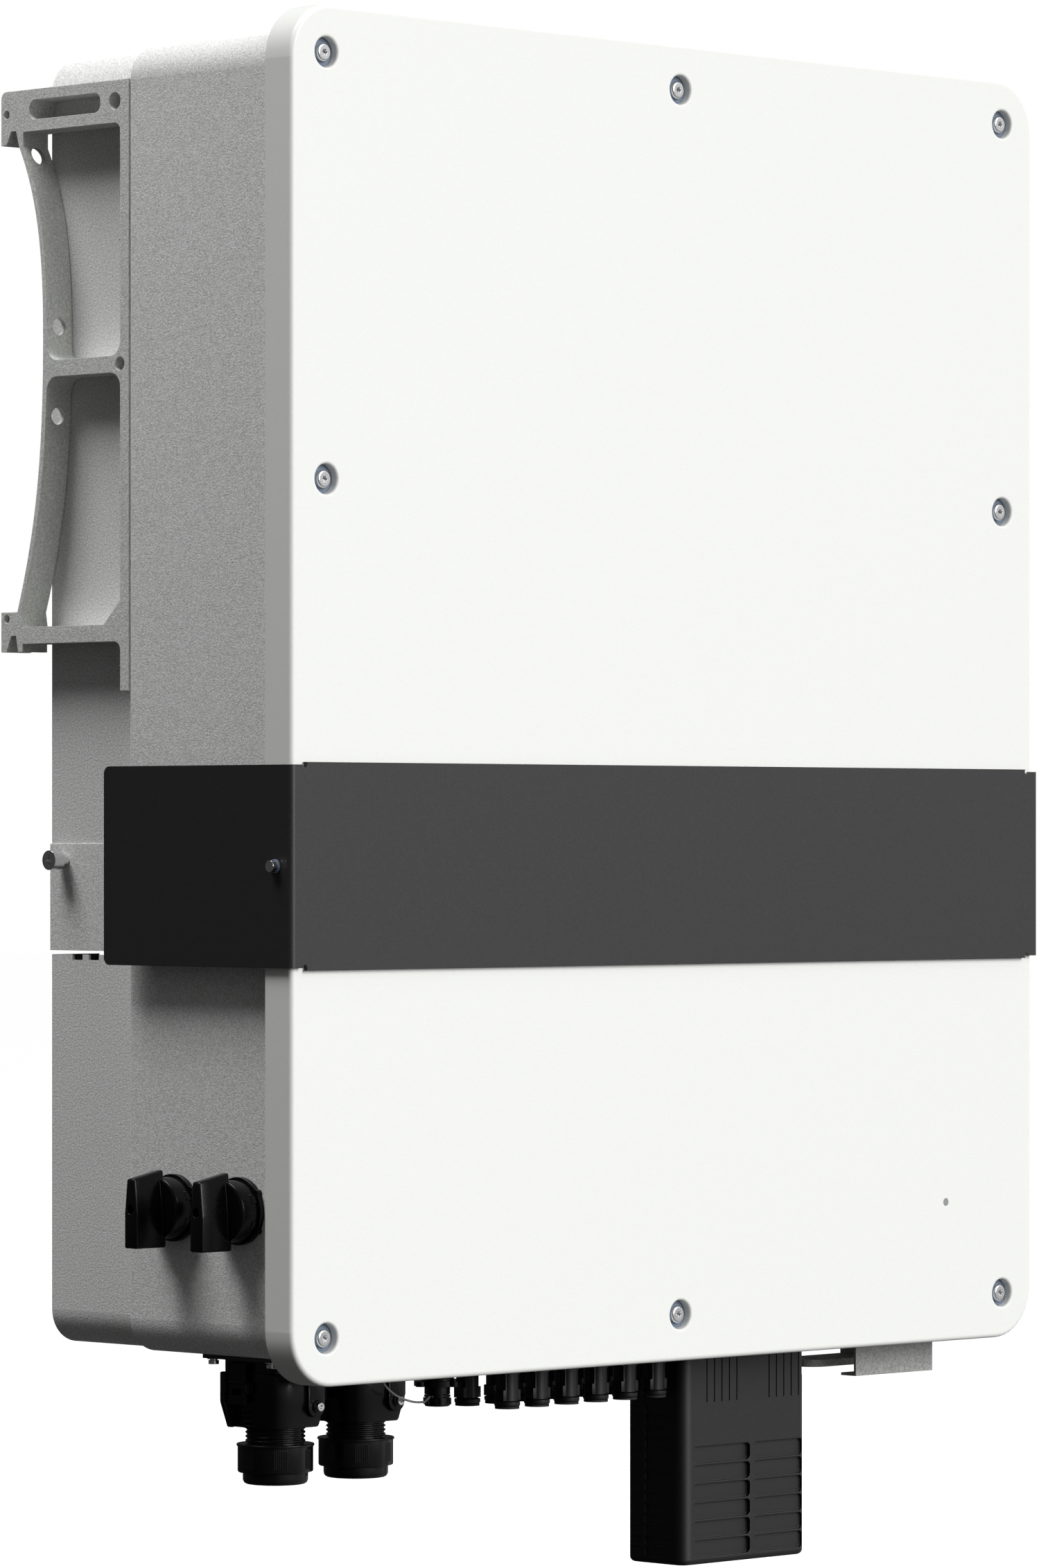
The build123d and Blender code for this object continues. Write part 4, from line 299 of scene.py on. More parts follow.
# %% The edge group
edge, edge_in, edge_out = new_group(
    "broken_edge", [("Radius", "float", 0.0005)], [("Normal", "vector"), ("Edge", "float")]
)
rounded = edge.nodes.new("ShaderNodeBevel")
rounded.samples = 6
edge.links.new(edge_in.outputs["Radius"], rounded.inputs["Radius"])
true_normal = edge.nodes.new("ShaderNodeNewGeometry").outputs["Normal"]
likeness = edge.nodes.new("ShaderNodeVectorMath")
likeness.operation = "DOT_PRODUCT"
edge.links.new(rounded.outputs["Normal"], likeness.inputs[0])
edge.links.new(true_normal, likeness.inputs[1])
edge.links.new(rounded.outputs["Normal"], edge_out.inputs["Normal"])
edge.links.new(map_range(edge, likeness.outputs["Value"], 0.995, 0.85, 0.0, 1.0), edge_out.inputs["Edge"])
print("group", edge.name, [s.name for s in edge.interface.items_tree])

# %% [markdown]
# ## The finishes
# Every finish is a Principled shader with the same skeleton: base colour broken up by speckle and cloud and
# lightened along edges as a painted highlight, roughness varied by the same masks, and a bump from the grain
# on top of the softened edge.
# One function builds that skeleton, and each finish then differs by its numbers, which is how a paint
# maker would describe it: colour, gloss, grain size and how strong it is.


# %% The finish builder
def finish_of(
    name, colour, roughness, speckle=0.04, cloud=0.03, grain_mm=0.5, speckle_mm=1.5, cloud_mm=90.0,
    bump=0.15, edge_radius=0.0004, edge_highlight_colour=None, edge_highlight_amount=0.5, metallic=0.0, coat=0.0, specular=0.5,
    roughness_spread=0.06,
):
    """A painted, moulded or metal finish with grain, speckle, cloudiness, softened edges and a painted
    highlight along its edges.
    """
    material = bpy.data.materials.new(name)
    material.use_nodes = True
    tree = material.node_tree
    shader = tree.nodes["Principled BSDF"]
    shader.inputs["Metallic"].default_value = metallic
    shader.inputs["Coat Weight"].default_value = coat
    shader.inputs["Coat Roughness"].default_value = 0.12
    shader.inputs["Specular IOR Level"].default_value = specular
    texture = tree.nodes.new("ShaderNodeGroup")
    texture.node_tree = grain
    texture.inputs["Grain mm"].default_value = grain_mm
    texture.inputs["Speckle mm"].default_value = speckle_mm
    texture.inputs["Cloud mm"].default_value = cloud_mm
    rim = tree.nodes.new("ShaderNodeGroup")
    rim.node_tree = edge
    rim.inputs["Radius"].default_value = edge_radius
    darker = tuple(channel * (1 - speckle * 2) for channel in colour)
    lighter = tuple(min(1.0, channel * (1 + speckle)) for channel in colour)
    dusky = tuple(channel * (1 - cloud * 3) for channel in colour)
    spotted = mix_colour(tree, map_range(tree, texture.outputs["Speckle"], 0.32, 0.68, 0, 1), darker, lighter)
    cloud_mask = map_range(tree, texture.outputs["Cloud"], 0.25, 0.75, cloud * 4, 0)
    clouded = mix_colour(tree, cloud_mask, spotted, dusky)
    # Painted highlight: the base colour is lightened close to every edge, where a rounded rim would catch
    # light.
    painted_edge_highlight = edge_highlight_colour or tuple(min(1.0, channel * 1.25 + 0.01) for channel in colour)
    edge_highlight_mask = math_node(tree, "MULTIPLY", rim.outputs["Edge"], edge_highlight_amount)
    tree.links.new(mix_colour(tree, edge_highlight_mask, clouded, painted_edge_highlight), shader.inputs["Base Color"])
    rough = map_range(
        tree, texture.outputs["Speckle"], 0.3, 0.7, roughness - roughness_spread, roughness + roughness_spread
    )
    tree.links.new(rough, shader.inputs["Roughness"])
    relief = tree.nodes.new("ShaderNodeBump")
    relief.inputs["Strength"].default_value = bump
    relief.inputs["Distance"].default_value = grain_mm * MM * 0.4
    tree.links.new(texture.outputs["Height"], relief.inputs["Height"])
    tree.links.new(rim.outputs["Normal"], relief.inputs["Normal"])
    tree.links.new(relief.outputs["Normal"], shader.inputs["Normal"])
    return material


# %% [markdown]
# The cover is a satin off-white with a very fine fleck; the casting and the extruded brackets have the same
# colour but a coarser, sandier coat that shows as soon as light grazes it, and the brackets' colour is set
# darker as painted shade. The band is a satin black. Moulded black parts run from the dull glass-filled nylon
# of the plugs to the glossier switch knobs, and their edges catch a thin line of light, strengthened by a
# painted highlight in their colour.

# %% Painted finishes
finishes = {
    "cover_paint": finish_of("cover_paint", (0.875, 0.885, 0.855), 0.42, 0.012, 0.006, 0.45, 1.1, 140, 0.10),
    "housing_paint": finish_of("housing_paint", (0.90, 0.91, 0.88), 0.6, 0.16, 0.02, 0.9, 1.1, 120, 0.8),
    # Painted shade: the brackets' colour is set darker than the casting's although the paint is the same.
    "bracket_paint": finish_of("bracket_paint", (0.78, 0.79, 0.76), 0.6, 0.16, 0.02, 0.9, 1.1, 60, 0.8),
    "band_black": finish_of(
        "band_black", (0.021, 0.021, 0.022), 0.42, 0.05, 0.02, 0.4, 1.0, 90, 0.12, specular=0.5
    ),
    "foot_paint": finish_of("foot_paint", (0.49, 0.49, 0.475), 0.55, 0.22, 0.03, 0.9, 1.0, 40, 0.8),
}
print("painted:", sorted(finishes))

# %% Moulded and rubber finishes
finishes |= {
    "black_plastic": finish_of("black_plastic", (0.005, 0.005, 0.0052), 0.45, 0.1, 0.03, 0.3, 0.9, 30, 0.2),
    "switch_plastic": finish_of(
        "switch_plastic", (0.0030, 0.0030, 0.0032), 0.24, 0.1, 0.03, 0.3, 0.8, 20, 0.12, 0.0006, specular=0.3
    ),
    "grey_plastic": finish_of("grey_plastic", (0.22, 0.23, 0.24), 0.5, 0.05, 0.03, 0.3, 0.9, 30, 0.2),
    "connector_plastic": finish_of(
        "connector_plastic", (0.0036, 0.0036, 0.0038), 0.23, 0.12, 0.03, 0.25, 0.7, 15, 0.12, 0.0003,
        specular=0.3,
    ),
    "pv_plastic": finish_of(
        "pv_plastic", (0.0042, 0.0042, 0.0044), 0.42, 0.12, 0.03, 0.25, 0.7, 15, 0.15, 0.0003, specular=0.45
    ),
    "battery_plastic": finish_of(
        "battery_plastic", (0.0040, 0.0040, 0.0042), 0.42, 0.1, 0.03, 0.35, 0.9, 25, 0.25, 0.0007,
        specular=0.5,
    ),
    "tether_plastic": finish_of("tether_plastic", (0.30, 0.30, 0.30), 0.3, 0.1, 0.03, 0.3, 0.9, 10, 0.1),
    "fan_plastic": finish_of("fan_plastic", (0.012, 0.012, 0.013), 0.45, 0.1, 0.03, 0.3, 0.9, 20, 0.2),
    "seal_rubber": finish_of("seal_rubber", (0.012, 0.012, 0.012), 0.75, 0.1, 0.05, 0.3, 1.0, 15, 0.3),
    "washer_grey": finish_of("washer_grey", (0.16, 0.20, 0.27), 0.6, 0.25, 0.05, 0.35, 0.6, 8, 0.5, 0.0002),
    "potting_grey": finish_of("potting_grey", (0.10, 0.10, 0.11), 0.5, 0.1, 0.05, 0.4, 1.2, 25, 0.2),
    "capacitor_sleeve": finish_of(
        "capacitor_sleeve", (0.02, 0.04, 0.10), 0.25, 0.05, 0.02, 0.4, 1.5, 30, 0.05
    ),
    "board_green": finish_of("board_green", (0.02, 0.11, 0.05), 0.35, 0.12, 0.05, 0.5, 2.0, 40, 0.1),
    "status_lens": finish_of(
        "status_lens", (0.30, 0.31, 0.32), 0.15, 0.02, 0.01, 0.4, 1.0, 10, 0.02, coat=0.6
    ),
}
print("moulded:", len(finishes) - 5)

# %% Metal finishes
finishes |= {
    "screw_steel": finish_of(
        "screw_steel", (0.86, 0.86, 0.87), 0.16, 0.03, 0.02, 0.2, 0.8, 8, 0.05, 0.0003, metallic=1.0
    ),
    "zinc_steel": finish_of(
        "zinc_steel", (0.58, 0.59, 0.62), 0.34, 0.08, 0.04, 0.3, 1.0, 10, 0.15, metallic=1.0
    ),
    "contact_metal": finish_of(
        "contact_metal", (0.78, 0.77, 0.74), 0.28, 0.05, 0.02, 0.3, 1.0, 10, 0.1, metallic=1.0
    ),
    "sink_aluminium": finish_of(
        "sink_aluminium", (0.74, 0.75, 0.76), 0.4, 0.05, 0.03, 0.4, 1.2, 60, 0.2, metallic=1.0
    ),
    "bush_brass": finish_of(
        "bush_brass", (0.70, 0.54, 0.27), 0.3, 0.05, 0.03, 0.3, 1.0, 10, 0.1, metallic=1.0
    ),
}
tether.data.materials.append(finishes["tether_plastic"])
for name, node in nodes.items():
    node.data.materials.clear()
    node.data.materials.append(finishes[slot_of_node[name]])
paper = finish_of("floor_paper", (0.93, 0.93, 0.93), 0.8, 0.005, 0.002, 2, 6, 400, 0.02)
paper.node_tree.nodes["Principled BSDF"].inputs["Emission Color"].default_value = (1, 1, 1, 1)
paper.node_tree.nodes["Principled BSDF"].inputs["Emission Strength"].default_value = 0.45
floor_data.materials.append(paper)
print("finishes in use:", len(set(slot_of_node.values())))

# %% [markdown]
# ## Making the moulded parts
# The connectors, knobs and covers are small mouldings, so each is built as a stack of simple solids
# whose corners and rims are really rounded: an outline lifted into a slab, or a half section spun into a
# ring. Every solid is made in millimetres in its own upright frame, then moved into place and joined to
# its piece. This keeps the helpers few, and each part of the moulding can be changed on its own.


# %% Solid helpers
def frame_at(place, outward=(0, 0, 1), up=(0, 1, 0)):
    """A matrix from local millimetres, Z pointing outward, to the place in metres."""
    z_axis = Vector(outward)
    y_axis = Vector(up)
    turn = Matrix((y_axis.cross(z_axis), y_axis, z_axis)).transposed().to_4x4()
    return Matrix.Translation(place) @ turn @ Matrix.Scale(MM, 4)


def bevel_edges(solid, edges, radius, segments):
    """Round some edges of a solid."""
    bmesh.ops.bevel(
        solid, geom=edges, offset=radius, offset_type="OFFSET", segments=segments, profile=0.5,
        affect="EDGES", material=-1,
    )


def slab(outline, low, high, corner=0.0, rim=0.0, corner_steps=4, rim_steps=2):
    """An outline in X and Y lifted from one height to another, its corners and rims rounded."""
    solid = bmesh.new()
    base = solid.faces.new([solid.verts.new((x, y, low)) for x, y in outline])
    lifted = bmesh.ops.extrude_face_region(solid, geom=[base])["geom"]
    top = [item for item in lifted if isinstance(item, bmesh.types.BMVert)]
    bmesh.ops.translate(solid, verts=top, vec=(0, 0, high - low))
    bmesh.ops.recalc_face_normals(solid, faces=solid.faces)
    if corner:
        upright = [e for e in solid.edges if abs(e.verts[0].co.z - e.verts[1].co.z) > 1e-6]
        bevel_edges(solid, upright, corner, corner_steps)
    if rim:
        solid.normal_update()
        rims = {e for face in solid.faces if abs(face.normal.z) > 0.99 for e in face.edges}
        bevel_edges(solid, list(rims), rim, rim_steps)
    return solid


def rectangle(width, depth, centre=(0, 0)):
    """Four corners of a rectangle."""
    half_x = width / 2
    half_y = depth / 2
    signs = ((-1, -1), (1, -1), (1, 1), (-1, 1))
    return [(centre[0] + sx * half_x, centre[1] + sy * half_y) for sx, sy in signs]


def polygon(radius, count, first_angle=0.0, centre=(0, 0)):
    """Corners of a regular polygon, or of a circle when there are many."""
    angles = [math.radians(first_angle + 360 * index / count) for index in range(count)]
    return [(centre[0] + radius * math.cos(a), centre[1] + radius * math.sin(a)) for a in angles]


def turned(profile, steps=48):
    """A half section of (radius, height) pairs spun once round the upright axis."""
    solid = bmesh.new()
    points = [solid.verts.new((radius, 0, height)) for radius, height in profile]
    edges = [solid.edges.new(pair) for pair in zip(points, points[1:])]
    bmesh.ops.spin(
        solid, geom=points + edges, cent=(0, 0, 0), axis=(0, 0, 1), dvec=(0, 0, 0),
        angle=2 * math.pi, steps=steps, use_merge=True,
    )
    bmesh.ops.remove_doubles(solid, verts=solid.verts, dist=1e-4)
    bmesh.ops.recalc_face_normals(solid, faces=solid.faces)
    return solid


def bore(solid, face, centre, radius, depth, segments=24):
    """Sink a round blind hole into a flat face."""
    normal = face.normal.copy()
    border = list(face.edges)
    bmesh.ops.delete(solid, geom=[face], context="FACES_ONLY")
    turn = normal.to_track_quat("Z", "Y").to_matrix().to_4x4()
    ring = bmesh.ops.create_circle(
        solid, cap_ends=False, radius=radius, segments=segments, matrix=Matrix.Translation(centre) @ turn
    )
    mouth = list({edge for vertex in ring["verts"] for edge in vertex.link_edges})
    bmesh.ops.triangle_fill(solid, use_beauty=True, edges=border + mouth)
    deep = bmesh.ops.extrude_edge_only(solid, edges=mouth)["geom"]
    deep_points = [item for item in deep if isinstance(item, bmesh.types.BMVert)]
    deep_edges = [item for item in deep if isinstance(item, bmesh.types.BMEdge)]
    bmesh.ops.translate(solid, verts=deep_points, vec=-normal * depth)
    bmesh.ops.edgeloop_fill(solid, edges=deep_edges)
    bmesh.ops.recalc_face_normals(solid, faces=solid.faces)


def flat_face(solid, direction, height):
    """The largest face that looks along a direction and lies at a height along it."""
    solid.normal_update()
    way = Vector(direction)
    level = [f for f in solid.faces if f.normal.dot(way) > 0.99]
    level = [f for f in level if abs(f.calc_center_median().dot(way) - height) < 0.05]
    return max(level, key=lambda face: face.calc_area())


def join(shape, solid, pose):
    """Move a finished solid into place and join it to a piece's mesh."""
    bmesh.ops.transform(solid, matrix=pose, verts=solid.verts)
    carrier = bpy.data.meshes.new("carrier")
    solid.to_mesh(carrier)
    solid.free()
    shape.from_mesh(carrier)
    bpy.data.meshes.remove(carrier)


def piece_from(shape, name, body, slot, *replaced):
    """Turn a joined shape into a piece that rides on a body and stands for CAD nodes."""
    mesh = bpy.data.meshes.new(name)
    shape.to_mesh(mesh)
    shape.free()
    mesh.shade_smooth()
    mesh.set_sharp_from_angle(angle=math.radians(32))
    mesh.materials.append(finishes[slot])
    piece = bpy.data.objects.new(name, mesh)
    bpy.context.scene.collection.objects.link(piece)
    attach(piece, body)
    if replaced:
        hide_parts(*replaced)
    print(name, "rides on", body, "with", len(mesh.polygons), "faces")
    return piece


# %% [markdown]
# ## Switch knobs
# Each isolator has a round dial with a tall blade handle across it. The blade is narrow at the top and
# slants back there, its rims are well rounded, and a padlock hole is bored into its tip. A slab cut by
# one slanting plane and bevelled all round gives that shape; the dial is a half section spun once.

# %% Knob sizes
DIAL_RADIUS = 16.15
DIAL_THICKNESS = 10.5
BLADE_ROOT = 7.5
BLADE_HALF_LENGTH = 20.25
BLADE_TOP_WIDTH = 5.0
BLADE_BOTTOM_WIDTH = 9.6
BLADE_TIP_DROP = 4.4
BLADE_ROUNDING = 1.15
LOCK_HOLE_RADIUS = 2.5


# %% Knobs
def blade_handle(reach):
    """The blade: a slab with a slanting top, rounded all over and bored at its tip."""
    half_top = BLADE_TOP_WIDTH / 2
    half_bottom = BLADE_BOTTOM_WIDTH / 2
    right = [(half_bottom, -BLADE_HALF_LENGTH), (half_bottom, -2), (half_top, BLADE_HALF_LENGTH)]
    left = [(-x, y) for x, y in reversed(right)]
    blade = slab(right + left, BLADE_ROOT, reach)
    slope = Vector((0, reach - BLADE_ROOT, BLADE_TIP_DROP)).normalized()
    bmesh.ops.bisect_plane(
        blade, geom=blade.verts[:] + blade.edges[:] + blade.faces[:], dist=1e-5,
        plane_co=(0, BLADE_HALF_LENGTH, BLADE_ROOT), plane_no=slope, clear_outer=True,
    )
    open_edges = [edge for edge in blade.edges if edge.is_boundary]
    bmesh.ops.edgeloop_fill(blade, edges=open_edges)
    bmesh.ops.dissolve_degenerate(blade, edges=blade.edges, dist=1e-4)
    bmesh.ops.recalc_face_normals(blade, faces=blade.faces)
    bevel_edges(blade, blade.edges[:], BLADE_ROUNDING, 3)
    bore(blade, flat_face(blade, (0, 0, 1), reach), (0, 0, reach), LOCK_HOLE_RADIUS, 3.0)
    return blade


for index in (1, 2):
    knob_low, knob_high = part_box(f"switch_knob_{index}")
    reach = (knob_high.x - knob_low.x) / MM
    knob_mid = (knob_low + knob_high) / 2
    pose = frame_at((knob_high.x, knob_mid.y, knob_mid.z), outward=(-1, 0, 0), up=(0, 0, 1))
    knob = bmesh.new()
    rim = [(0, 0), (DIAL_RADIUS - 0.4, 0), (DIAL_RADIUS, 0.4), (DIAL_RADIUS, DIAL_THICKNESS - 1.6)]
    rim += [(DIAL_RADIUS - 0.4, DIAL_THICKNESS - 0.7), (DIAL_RADIUS - 1.3, DIAL_THICKNESS - 0.1)]
    join(knob, turned(rim + [(DIAL_RADIUS - 2.2, DIAL_THICKNESS), (0, DIAL_THICKNESS)], 64), pose)
    for angle in (25, 155, 205, 335):
        tab = slab(rectangle(2.4, 5.0, (DIAL_RADIUS - 0.6, 0)), 0.0, 3.6, 0.4, 0.3)
        turn = Matrix.Rotation(math.radians(angle), 3, "Z")
        bmesh.ops.rotate(tab, verts=tab.verts, cent=(0, 0, 0), matrix=turn)
        join(knob, tab, pose)
    join(knob, blade_handle(reach), pose)
    piece_from(knob, f"knob_{index}", f"switch_{index}", "switch_plastic", f"switch_knob_{index}")

# %% [markdown]
# ## Gland nuts
# The clamping nut of a cable gland is a hexagon with its corners cut back to narrow facets, a thin rim
# above, a rounded dome below and a patch of fine ribs on every flat for the fingers. Six corners, one
# flat bevel on each, and small ribs set round in a loop.

# %% Nuts
NUT_CORNER = 20.9
NUT_TURN = 235.6
NUT_FACET_CUT = 2.4
NUT_DOME = 6.0
NUT_RIM = 1.3
NUT_RIM_RADIUS = 20.4
NUT_DOME_RADIUS = 17.1
NUT_MOUTH_RADIUS = 11.0
NUT_RIBS = 8
NUT_RIB_PITCH = 0.95

for name in ("grid", "backup"):
    nut_low, nut_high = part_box(f"{name}_gland_nut")
    height = (nut_high.z - nut_low.z) / MM
    nut_mid = (nut_low + nut_high) / 2
    pose = frame_at((nut_mid.x, nut_mid.y, nut_low.z))
    nut = bmesh.new()
    body_top = height - NUT_RIM
    faceted = slab(polygon(NUT_CORNER, 6, NUT_TURN + 30), NUT_DOME, body_top, NUT_FACET_CUT, 0.0, 1)
    foot_edges = list(flat_face(faceted, (0, 0, -1), -NUT_DOME).edges)
    bevel_edges(faceted, foot_edges, 1.1, 2)
    join(nut, faceted, pose)
    rim = [(15.9, body_top), (NUT_RIM_RADIUS - 0.3, body_top), (NUT_RIM_RADIUS, body_top + 0.3)]
    rim += [(NUT_RIM_RADIUS, height - 0.3), (NUT_RIM_RADIUS - 0.3, height), (15.9, height), (15.9, body_top)]
    join(nut, turned(rim, 72), pose)
    curve = [math.radians(angle) for angle in (-90, -67, -45, -22, 0)]
    dome = [(0, 4.5), (NUT_MOUTH_RADIUS, 4.5), (NUT_MOUTH_RADIUS, 0.5), (NUT_MOUTH_RADIUS + 0.5, 0)]
    dome += [(NUT_DOME_RADIUS - 2.6 + 2.6 * math.cos(a), 2.6 + 2.6 * math.sin(a)) for a in curve]
    dome += [(NUT_DOME_RADIUS, NUT_DOME + 1), (0, NUT_DOME + 1)]
    join(nut, turned(dome, 64), pose)
    flat_radius = NUT_CORNER * math.cos(math.radians(30))
    for side in range(6):
        turn = Matrix.Rotation(math.radians(NUT_TURN + 60 * side), 4, "Z")
        for rib in range(NUT_RIBS):
            across = (rib - (NUT_RIBS - 1) / 2) * NUT_RIB_PITCH
            outline = rectangle(0.5, 0.45, (flat_radius, across))
            ridge = slab(outline, NUT_DOME + 2.4, body_top - 1.6, 0, 0.12, 1, 1)
            join(nut, ridge, pose @ turn)
    piece_from(nut, f"{name}_clamping_nut", f"{name}_nut", "connector_plastic", f"{name}_gland_nut")

# %% [markdown]
# ## Plug shells
# A plug shell is a square housing with two large and two small corners that narrows to a round throat,
# a gland thread under it, a wing at the back of its left side, a boss with four fins for
# grip, and a front strap with a captive screw. The square part is a slab whose corners are rounded one
# by one, and its floor is pushed down and scaled in for the taper; the thread is a spun saw-tooth.

# %% Shell sizes
SHELL_STRAIGHT = 15.3
SHELL_TAPER = 14.0
THREAD_RADIUS = 15.75
THREAD_CORE = 14.9
THREAD_PITCH = 2.2
STRAP_OFFSET = 9.0
STRAP_WIDTH = 11.6
STRAP_DROP = 24.0
FIN_DROPS = (19.6, 22.6, 25.6, 28.4)
EAR_MIDDLE = 5.3
EAR_SPREAD = 7.8


# %% Shell parts
def shell_body(width, depth):
    """The square housing, rounded corner by corner, with its tapered lower part."""
    body = slab(rectangle(width, depth), -SHELL_STRAIGHT, 0)
    upright = [e for e in body.edges if abs(e.verts[0].co.z - e.verts[1].co.z) > 1]
    wide = [e for e in upright if e.verts[0].co.x * e.verts[0].co.y > 0]
    tight = [e for e in upright if e.verts[0].co.x * e.verts[0].co.y < 0]
    bevel_edges(body, wide, 15.0, 8)
    bevel_edges(body, [e for e in tight if e.is_valid], 4.0, 4)
    floor_face = flat_face(body, (0, 0, -1), SHELL_STRAIGHT)
    pushed = bmesh.ops.extrude_face_region(body, geom=[floor_face])["geom"]
    low_points = [item for item in pushed if isinstance(item, bmesh.types.BMVert)]
    bmesh.ops.delete(body, geom=[floor_face], context="FACES_ONLY")
    bmesh.ops.translate(body, verts=low_points, vec=(0, 0, -SHELL_TAPER))
    bmesh.ops.scale(body, verts=low_points, vec=(0.85, 0.84, 1))
    bmesh.ops.recalc_face_normals(body, faces=body.faces)
    drops = (0, SHELL_STRAIGHT + SHELL_TAPER)
    rims = [e for e in body.edges if any(all(abs(v.co.z + drop) < 0.01 for v in e.verts) for drop in drops)]
    bevel_edges(body, rims, 0.5, 2)
    return body


def gland_thread(top, bottom):
    """A round core with saw-tooth ridges."""
    profile = [(0, top), (THREAD_CORE, top)]
    ridge = top - 0.6
    while ridge - THREAD_PITCH > bottom:
        profile += [(THREAD_CORE, ridge), (THREAD_RADIUS, ridge - 0.7), (THREAD_RADIUS, ridge - 1.1)]
        profile += [(THREAD_CORE, ridge - 1.8)]
        ridge -= THREAD_PITCH
    return turned(profile + [(THREAD_CORE, bottom), (0, bottom)], 64)


# %% Shells
for name in ("grid", "backup"):
    box_low, box_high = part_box(f"{name}_gland_nut")
    shell_low, shell_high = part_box(f"{name}_plug_shell")
    middle_x = (box_low.x + box_high.x) / 2
    middle_y = (box_low.y + box_high.y) / 2
    width = 2 * (shell_high.x - middle_x) / MM
    depth = 2 * (shell_high.y - middle_y) / MM
    pose = frame_at((middle_x, middle_y, shell_high.z))
    shell = bmesh.new()
    join(shell, shell_body(width, depth), pose)
    throat = SHELL_STRAIGHT + SHELL_TAPER
    join(shell, gland_thread(-throat + 1, (shell_low.z - shell_high.z) / MM), pose)
    front = frame_at((middle_x, middle_y, shell_high.z), outward=(0, -1, 0), up=(0, 0, 1))
    wing = [(-width / 2 + 2.5, 0), (-width / 2 - 5.8, 0), (-width / 2 - 5.8, -SHELL_STRAIGHT - 0.4)]
    wing += [(-width / 2 - 0.6, -throat), (-width / 2 + 2.5, -throat)]
    join(shell, slab(wing, -15.4, -12.6, 0.8, 0.3), front)
    back_wing = [(-x, y) for x, y in reversed(wing)]
    join(shell, slab(back_wing, 9.0, 11.8, 0.8, 0.3), front)
    strap_end = STRAP_DROP - STRAP_WIDTH / 2
    strap = [(STRAP_OFFSET - STRAP_WIDTH / 2, 0)]
    arc = [math.radians(180 + 15 * step) for step in range(13)]
    strap += [
        (STRAP_OFFSET + STRAP_WIDTH / 2 * math.cos(angle), -strap_end + STRAP_WIDTH / 2 * math.sin(angle))
        for angle in arc
    ]
    strap += [(STRAP_OFFSET + STRAP_WIDTH / 2, 0)]
    join(shell, slab(strap, depth / 2 - 4, depth / 2 + 2.0, 0, 0.35), front)
    recess = rectangle(STRAP_WIDTH - 3.0, strap_end - 2.5, (STRAP_OFFSET - 0.4, -strap_end / 2 + 0.6))
    join(shell, slab(recess, depth / 2, depth / 2 + 2.35, 0.4, 0.15), front)
    collar_pose = frame_at(
        (middle_x + STRAP_OFFSET * MM, middle_y, shell_high.z - strap_end * MM), (0, -1, 0), (0, 0, 1)
    )
    collar = [(0, 18), (3.3, 18), (3.3, depth / 2 + 2.9), (3.0, depth / 2 + 3.2), (0, depth / 2 + 3.2)]
    join(shell, turned(collar, 32), collar_pose)
    for drop in FIN_DROPS:
        reach_in = (drop - SHELL_STRAIGHT) * 0.2
        fin = slab(polygon(5.2, 28, 0, (-width / 2 + 3.4 + reach_in, 3.2)), -drop - 0.8, -drop + 0.8, 0, 0.45)
        join(shell, fin, pose)
    for side in (-1, 1):
        ear_y = EAR_MIDDLE + side * EAR_SPREAD
        ear = slab(rectangle(8.6, 1.6, (-width / 2 - 0.4, ear_y)), -11.1, -5.1, 0, 0.25)
        join(shell, ear, pose)
    piece_from(shell, f"{name}_shell", "root", "connector_plastic", f"{name}_plug_shell")

# %% [markdown]
# The captive screws in those straps are bright pan heads with a slot, and they catch the key light.

# %% Strap screws
screws = bmesh.new()
for name in ("grid", "backup"):
    box_low, box_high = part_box(f"{name}_gland_nut")
    shell_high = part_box(f"{name}_plug_shell")[1]
    middle_x = (box_low.x + box_high.x) / 2
    head_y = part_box("plug_screws")[0].y
    place = (middle_x + STRAP_OFFSET * MM, head_y, shell_high.z - (STRAP_DROP - STRAP_WIDTH / 2) * MM)
    pose = frame_at(place, outward=(0, -1, 0), up=(0, 0, 1))
    head = turned([(0, -3.4), (2.45, -3.4), (2.45, -0.5), (2.2, 0), (0.9, 0), (0.6, -0.7), (0, -0.8)], 32)
    join(screws, head, pose)
piece_from(screws, "strap_screw_heads", "root", "screw_steel", "plug_screws")

# %% [markdown]
# ## Photovoltaic sockets
# Each panel socket has a flat-sided body with a plate front and back, narrower at the middle where the
# release window is, a raised strip between two grooves, and a round mouth below with a shadow gap. Both
# rows are the same moulding, so one function makes a socket and a loop sets twelve of them.

# %% Socket maker
SOCKET_HEIGHT = 28.8
SOCKET_PLATE = 6.55
SOCKET_WAIST = 4.9
SOCKET_COUNT = 6
SOCKET_LIP = 2.6
COLLAR_RADIUS = 8.4


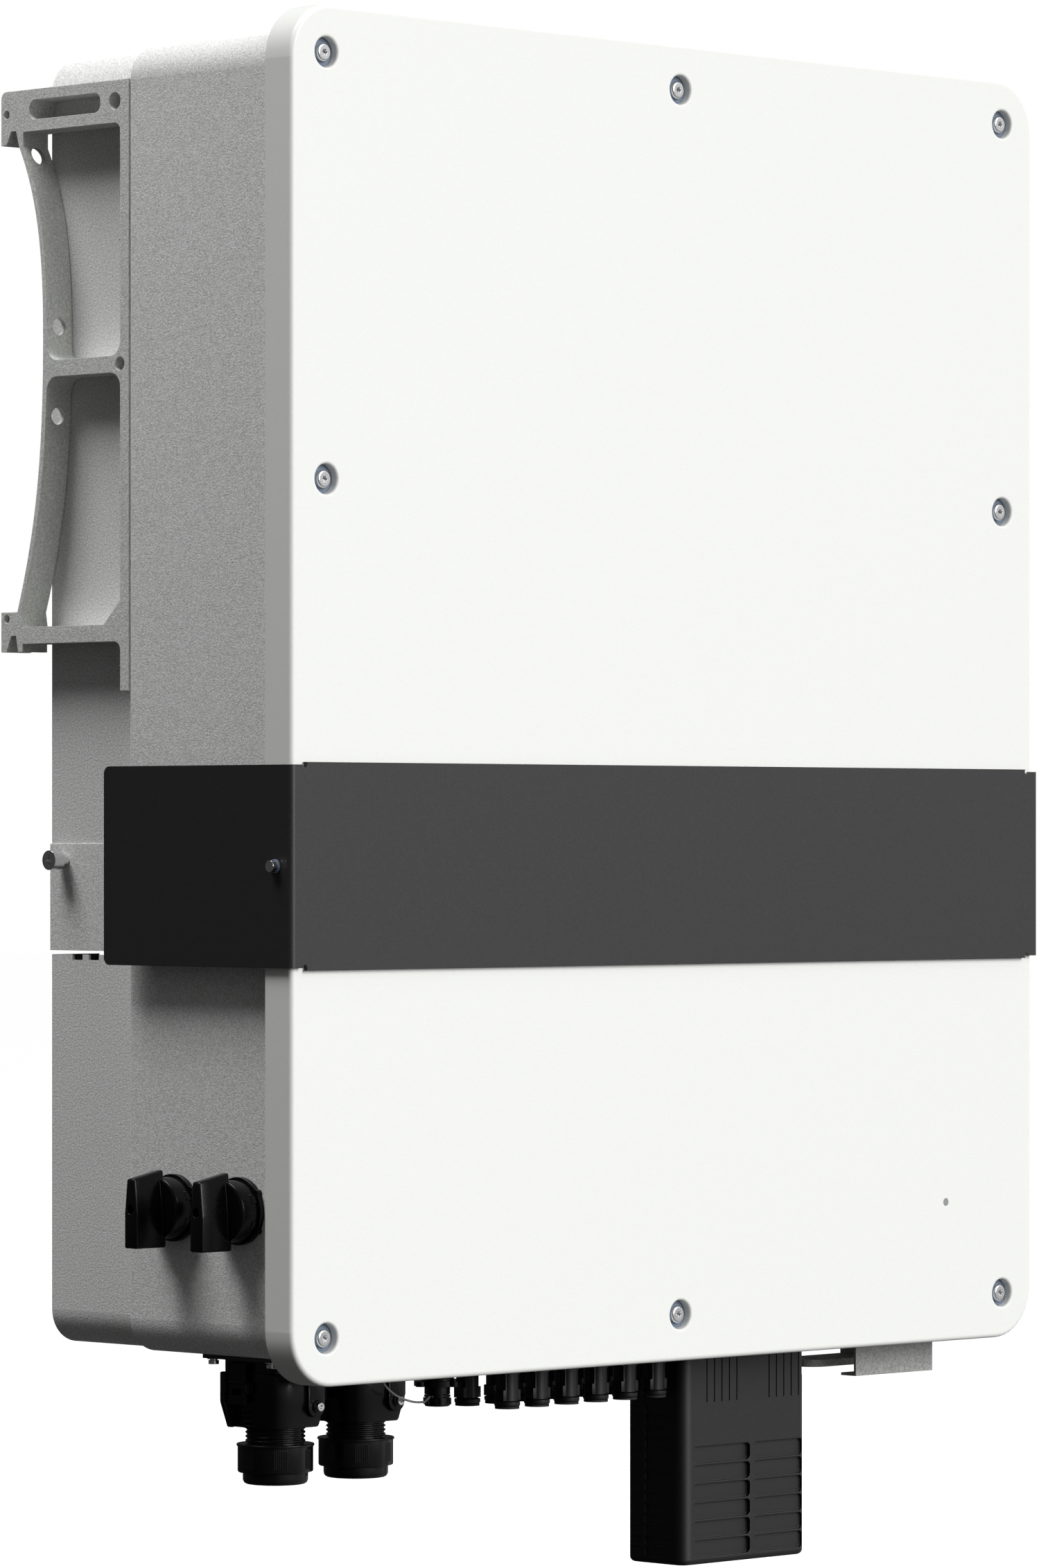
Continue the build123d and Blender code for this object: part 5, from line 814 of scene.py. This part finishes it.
def socket_solids():
    """The solids of one socket, each with the frame that it is made in."""
    side_points = [(SOCKET_PLATE, 0.6), (SOCKET_PLATE, 6.4), (SOCKET_WAIST, 6.4), (SOCKET_WAIST, 14.2)]
    side_points += [(SOCKET_PLATE - 0.6, 15.4), (SOCKET_PLATE - 0.6, SOCKET_HEIGHT)]
    plate = side_points + [(-x, y) for x, y in reversed(side_points)]
    yield slab(rectangle(2 * SOCKET_WAIST, 5.6), 0.3, SOCKET_HEIGHT, 0.6, 0), (0, 0, 1)
    yield slab(rectangle(2 * SOCKET_PLATE - 0.3, 5.0), 1.0, 6.0, 0.5, 0.2), (0, 0, 1)
    yield slab(rectangle(2 * SOCKET_PLATE - 0.8, 5.6), 16.0, SOCKET_HEIGHT, 0.5, 0.2), (0, 0, 1)
    for outward in ((0, -1, 0), (0, 1, 0)):
        yield slab(plate, 2.4, 3.8, 0, 0.2), outward
        strip = rectangle(3.4, SOCKET_HEIGHT - 1.6, (0, SOCKET_HEIGHT / 2 + 0.2))
        yield slab(strip, 3.0, 4.15, 0, 0.15), outward
    for outward in ((-1, 0, 0), (1, 0, 0)):
        yield slab(rectangle(0.7, 7.4, (0, 10.4)), 4.0, 5.9, 0, 0.2), outward
    mouth = [(0, -1.4), (5.0, -1.4), (5.0, -2.2), (5.4, -SOCKET_LIP), (6.2, -SOCKET_LIP), (6.8, -2.2)]
    mouth += [(7.0, -1.6), (7.0, -0.2), (6.6, 0.1), (6.0, 0.25), (5.7, 0.6), (5.7, SOCKET_HEIGHT)]
    yield turned(mouth + [(0, SOCKET_HEIGHT)], 40), (0, 0, 1)
    collar = [(0, SOCKET_HEIGHT), (COLLAR_RADIUS - 0.3, SOCKET_HEIGHT)]
    collar += [(COLLAR_RADIUS, SOCKET_HEIGHT + 0.3), (COLLAR_RADIUS, SOCKET_HEIGHT + 3)]
    yield turned(collar + [(0, SOCKET_HEIGHT + 3)], 40), (0, 0, 1)


# %% Socket rows
for row in ("front", "rear"):
    row_low, row_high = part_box(f"pv_sockets_{row}")
    pitch = (row_high.x - row_low.x - 2 * COLLAR_RADIUS * MM) / (SOCKET_COUNT - 1)
    row_y = (row_low.y + row_high.y) / 2
    sockets = bmesh.new()
    for column in range(SOCKET_COUNT):
        place = (row_low.x + COLLAR_RADIUS * MM + column * pitch, row_y, row_low.z + SOCKET_LIP * MM)
        for solid, outward in socket_solids():
            up = (0, 1, 0) if outward[2] else (0, 0, 1)
            join(sockets, solid, frame_at(place, outward, up))
    piece_from(sockets, f"panel_sockets_{row}", "root", "pv_plastic", f"pv_sockets_{row}")
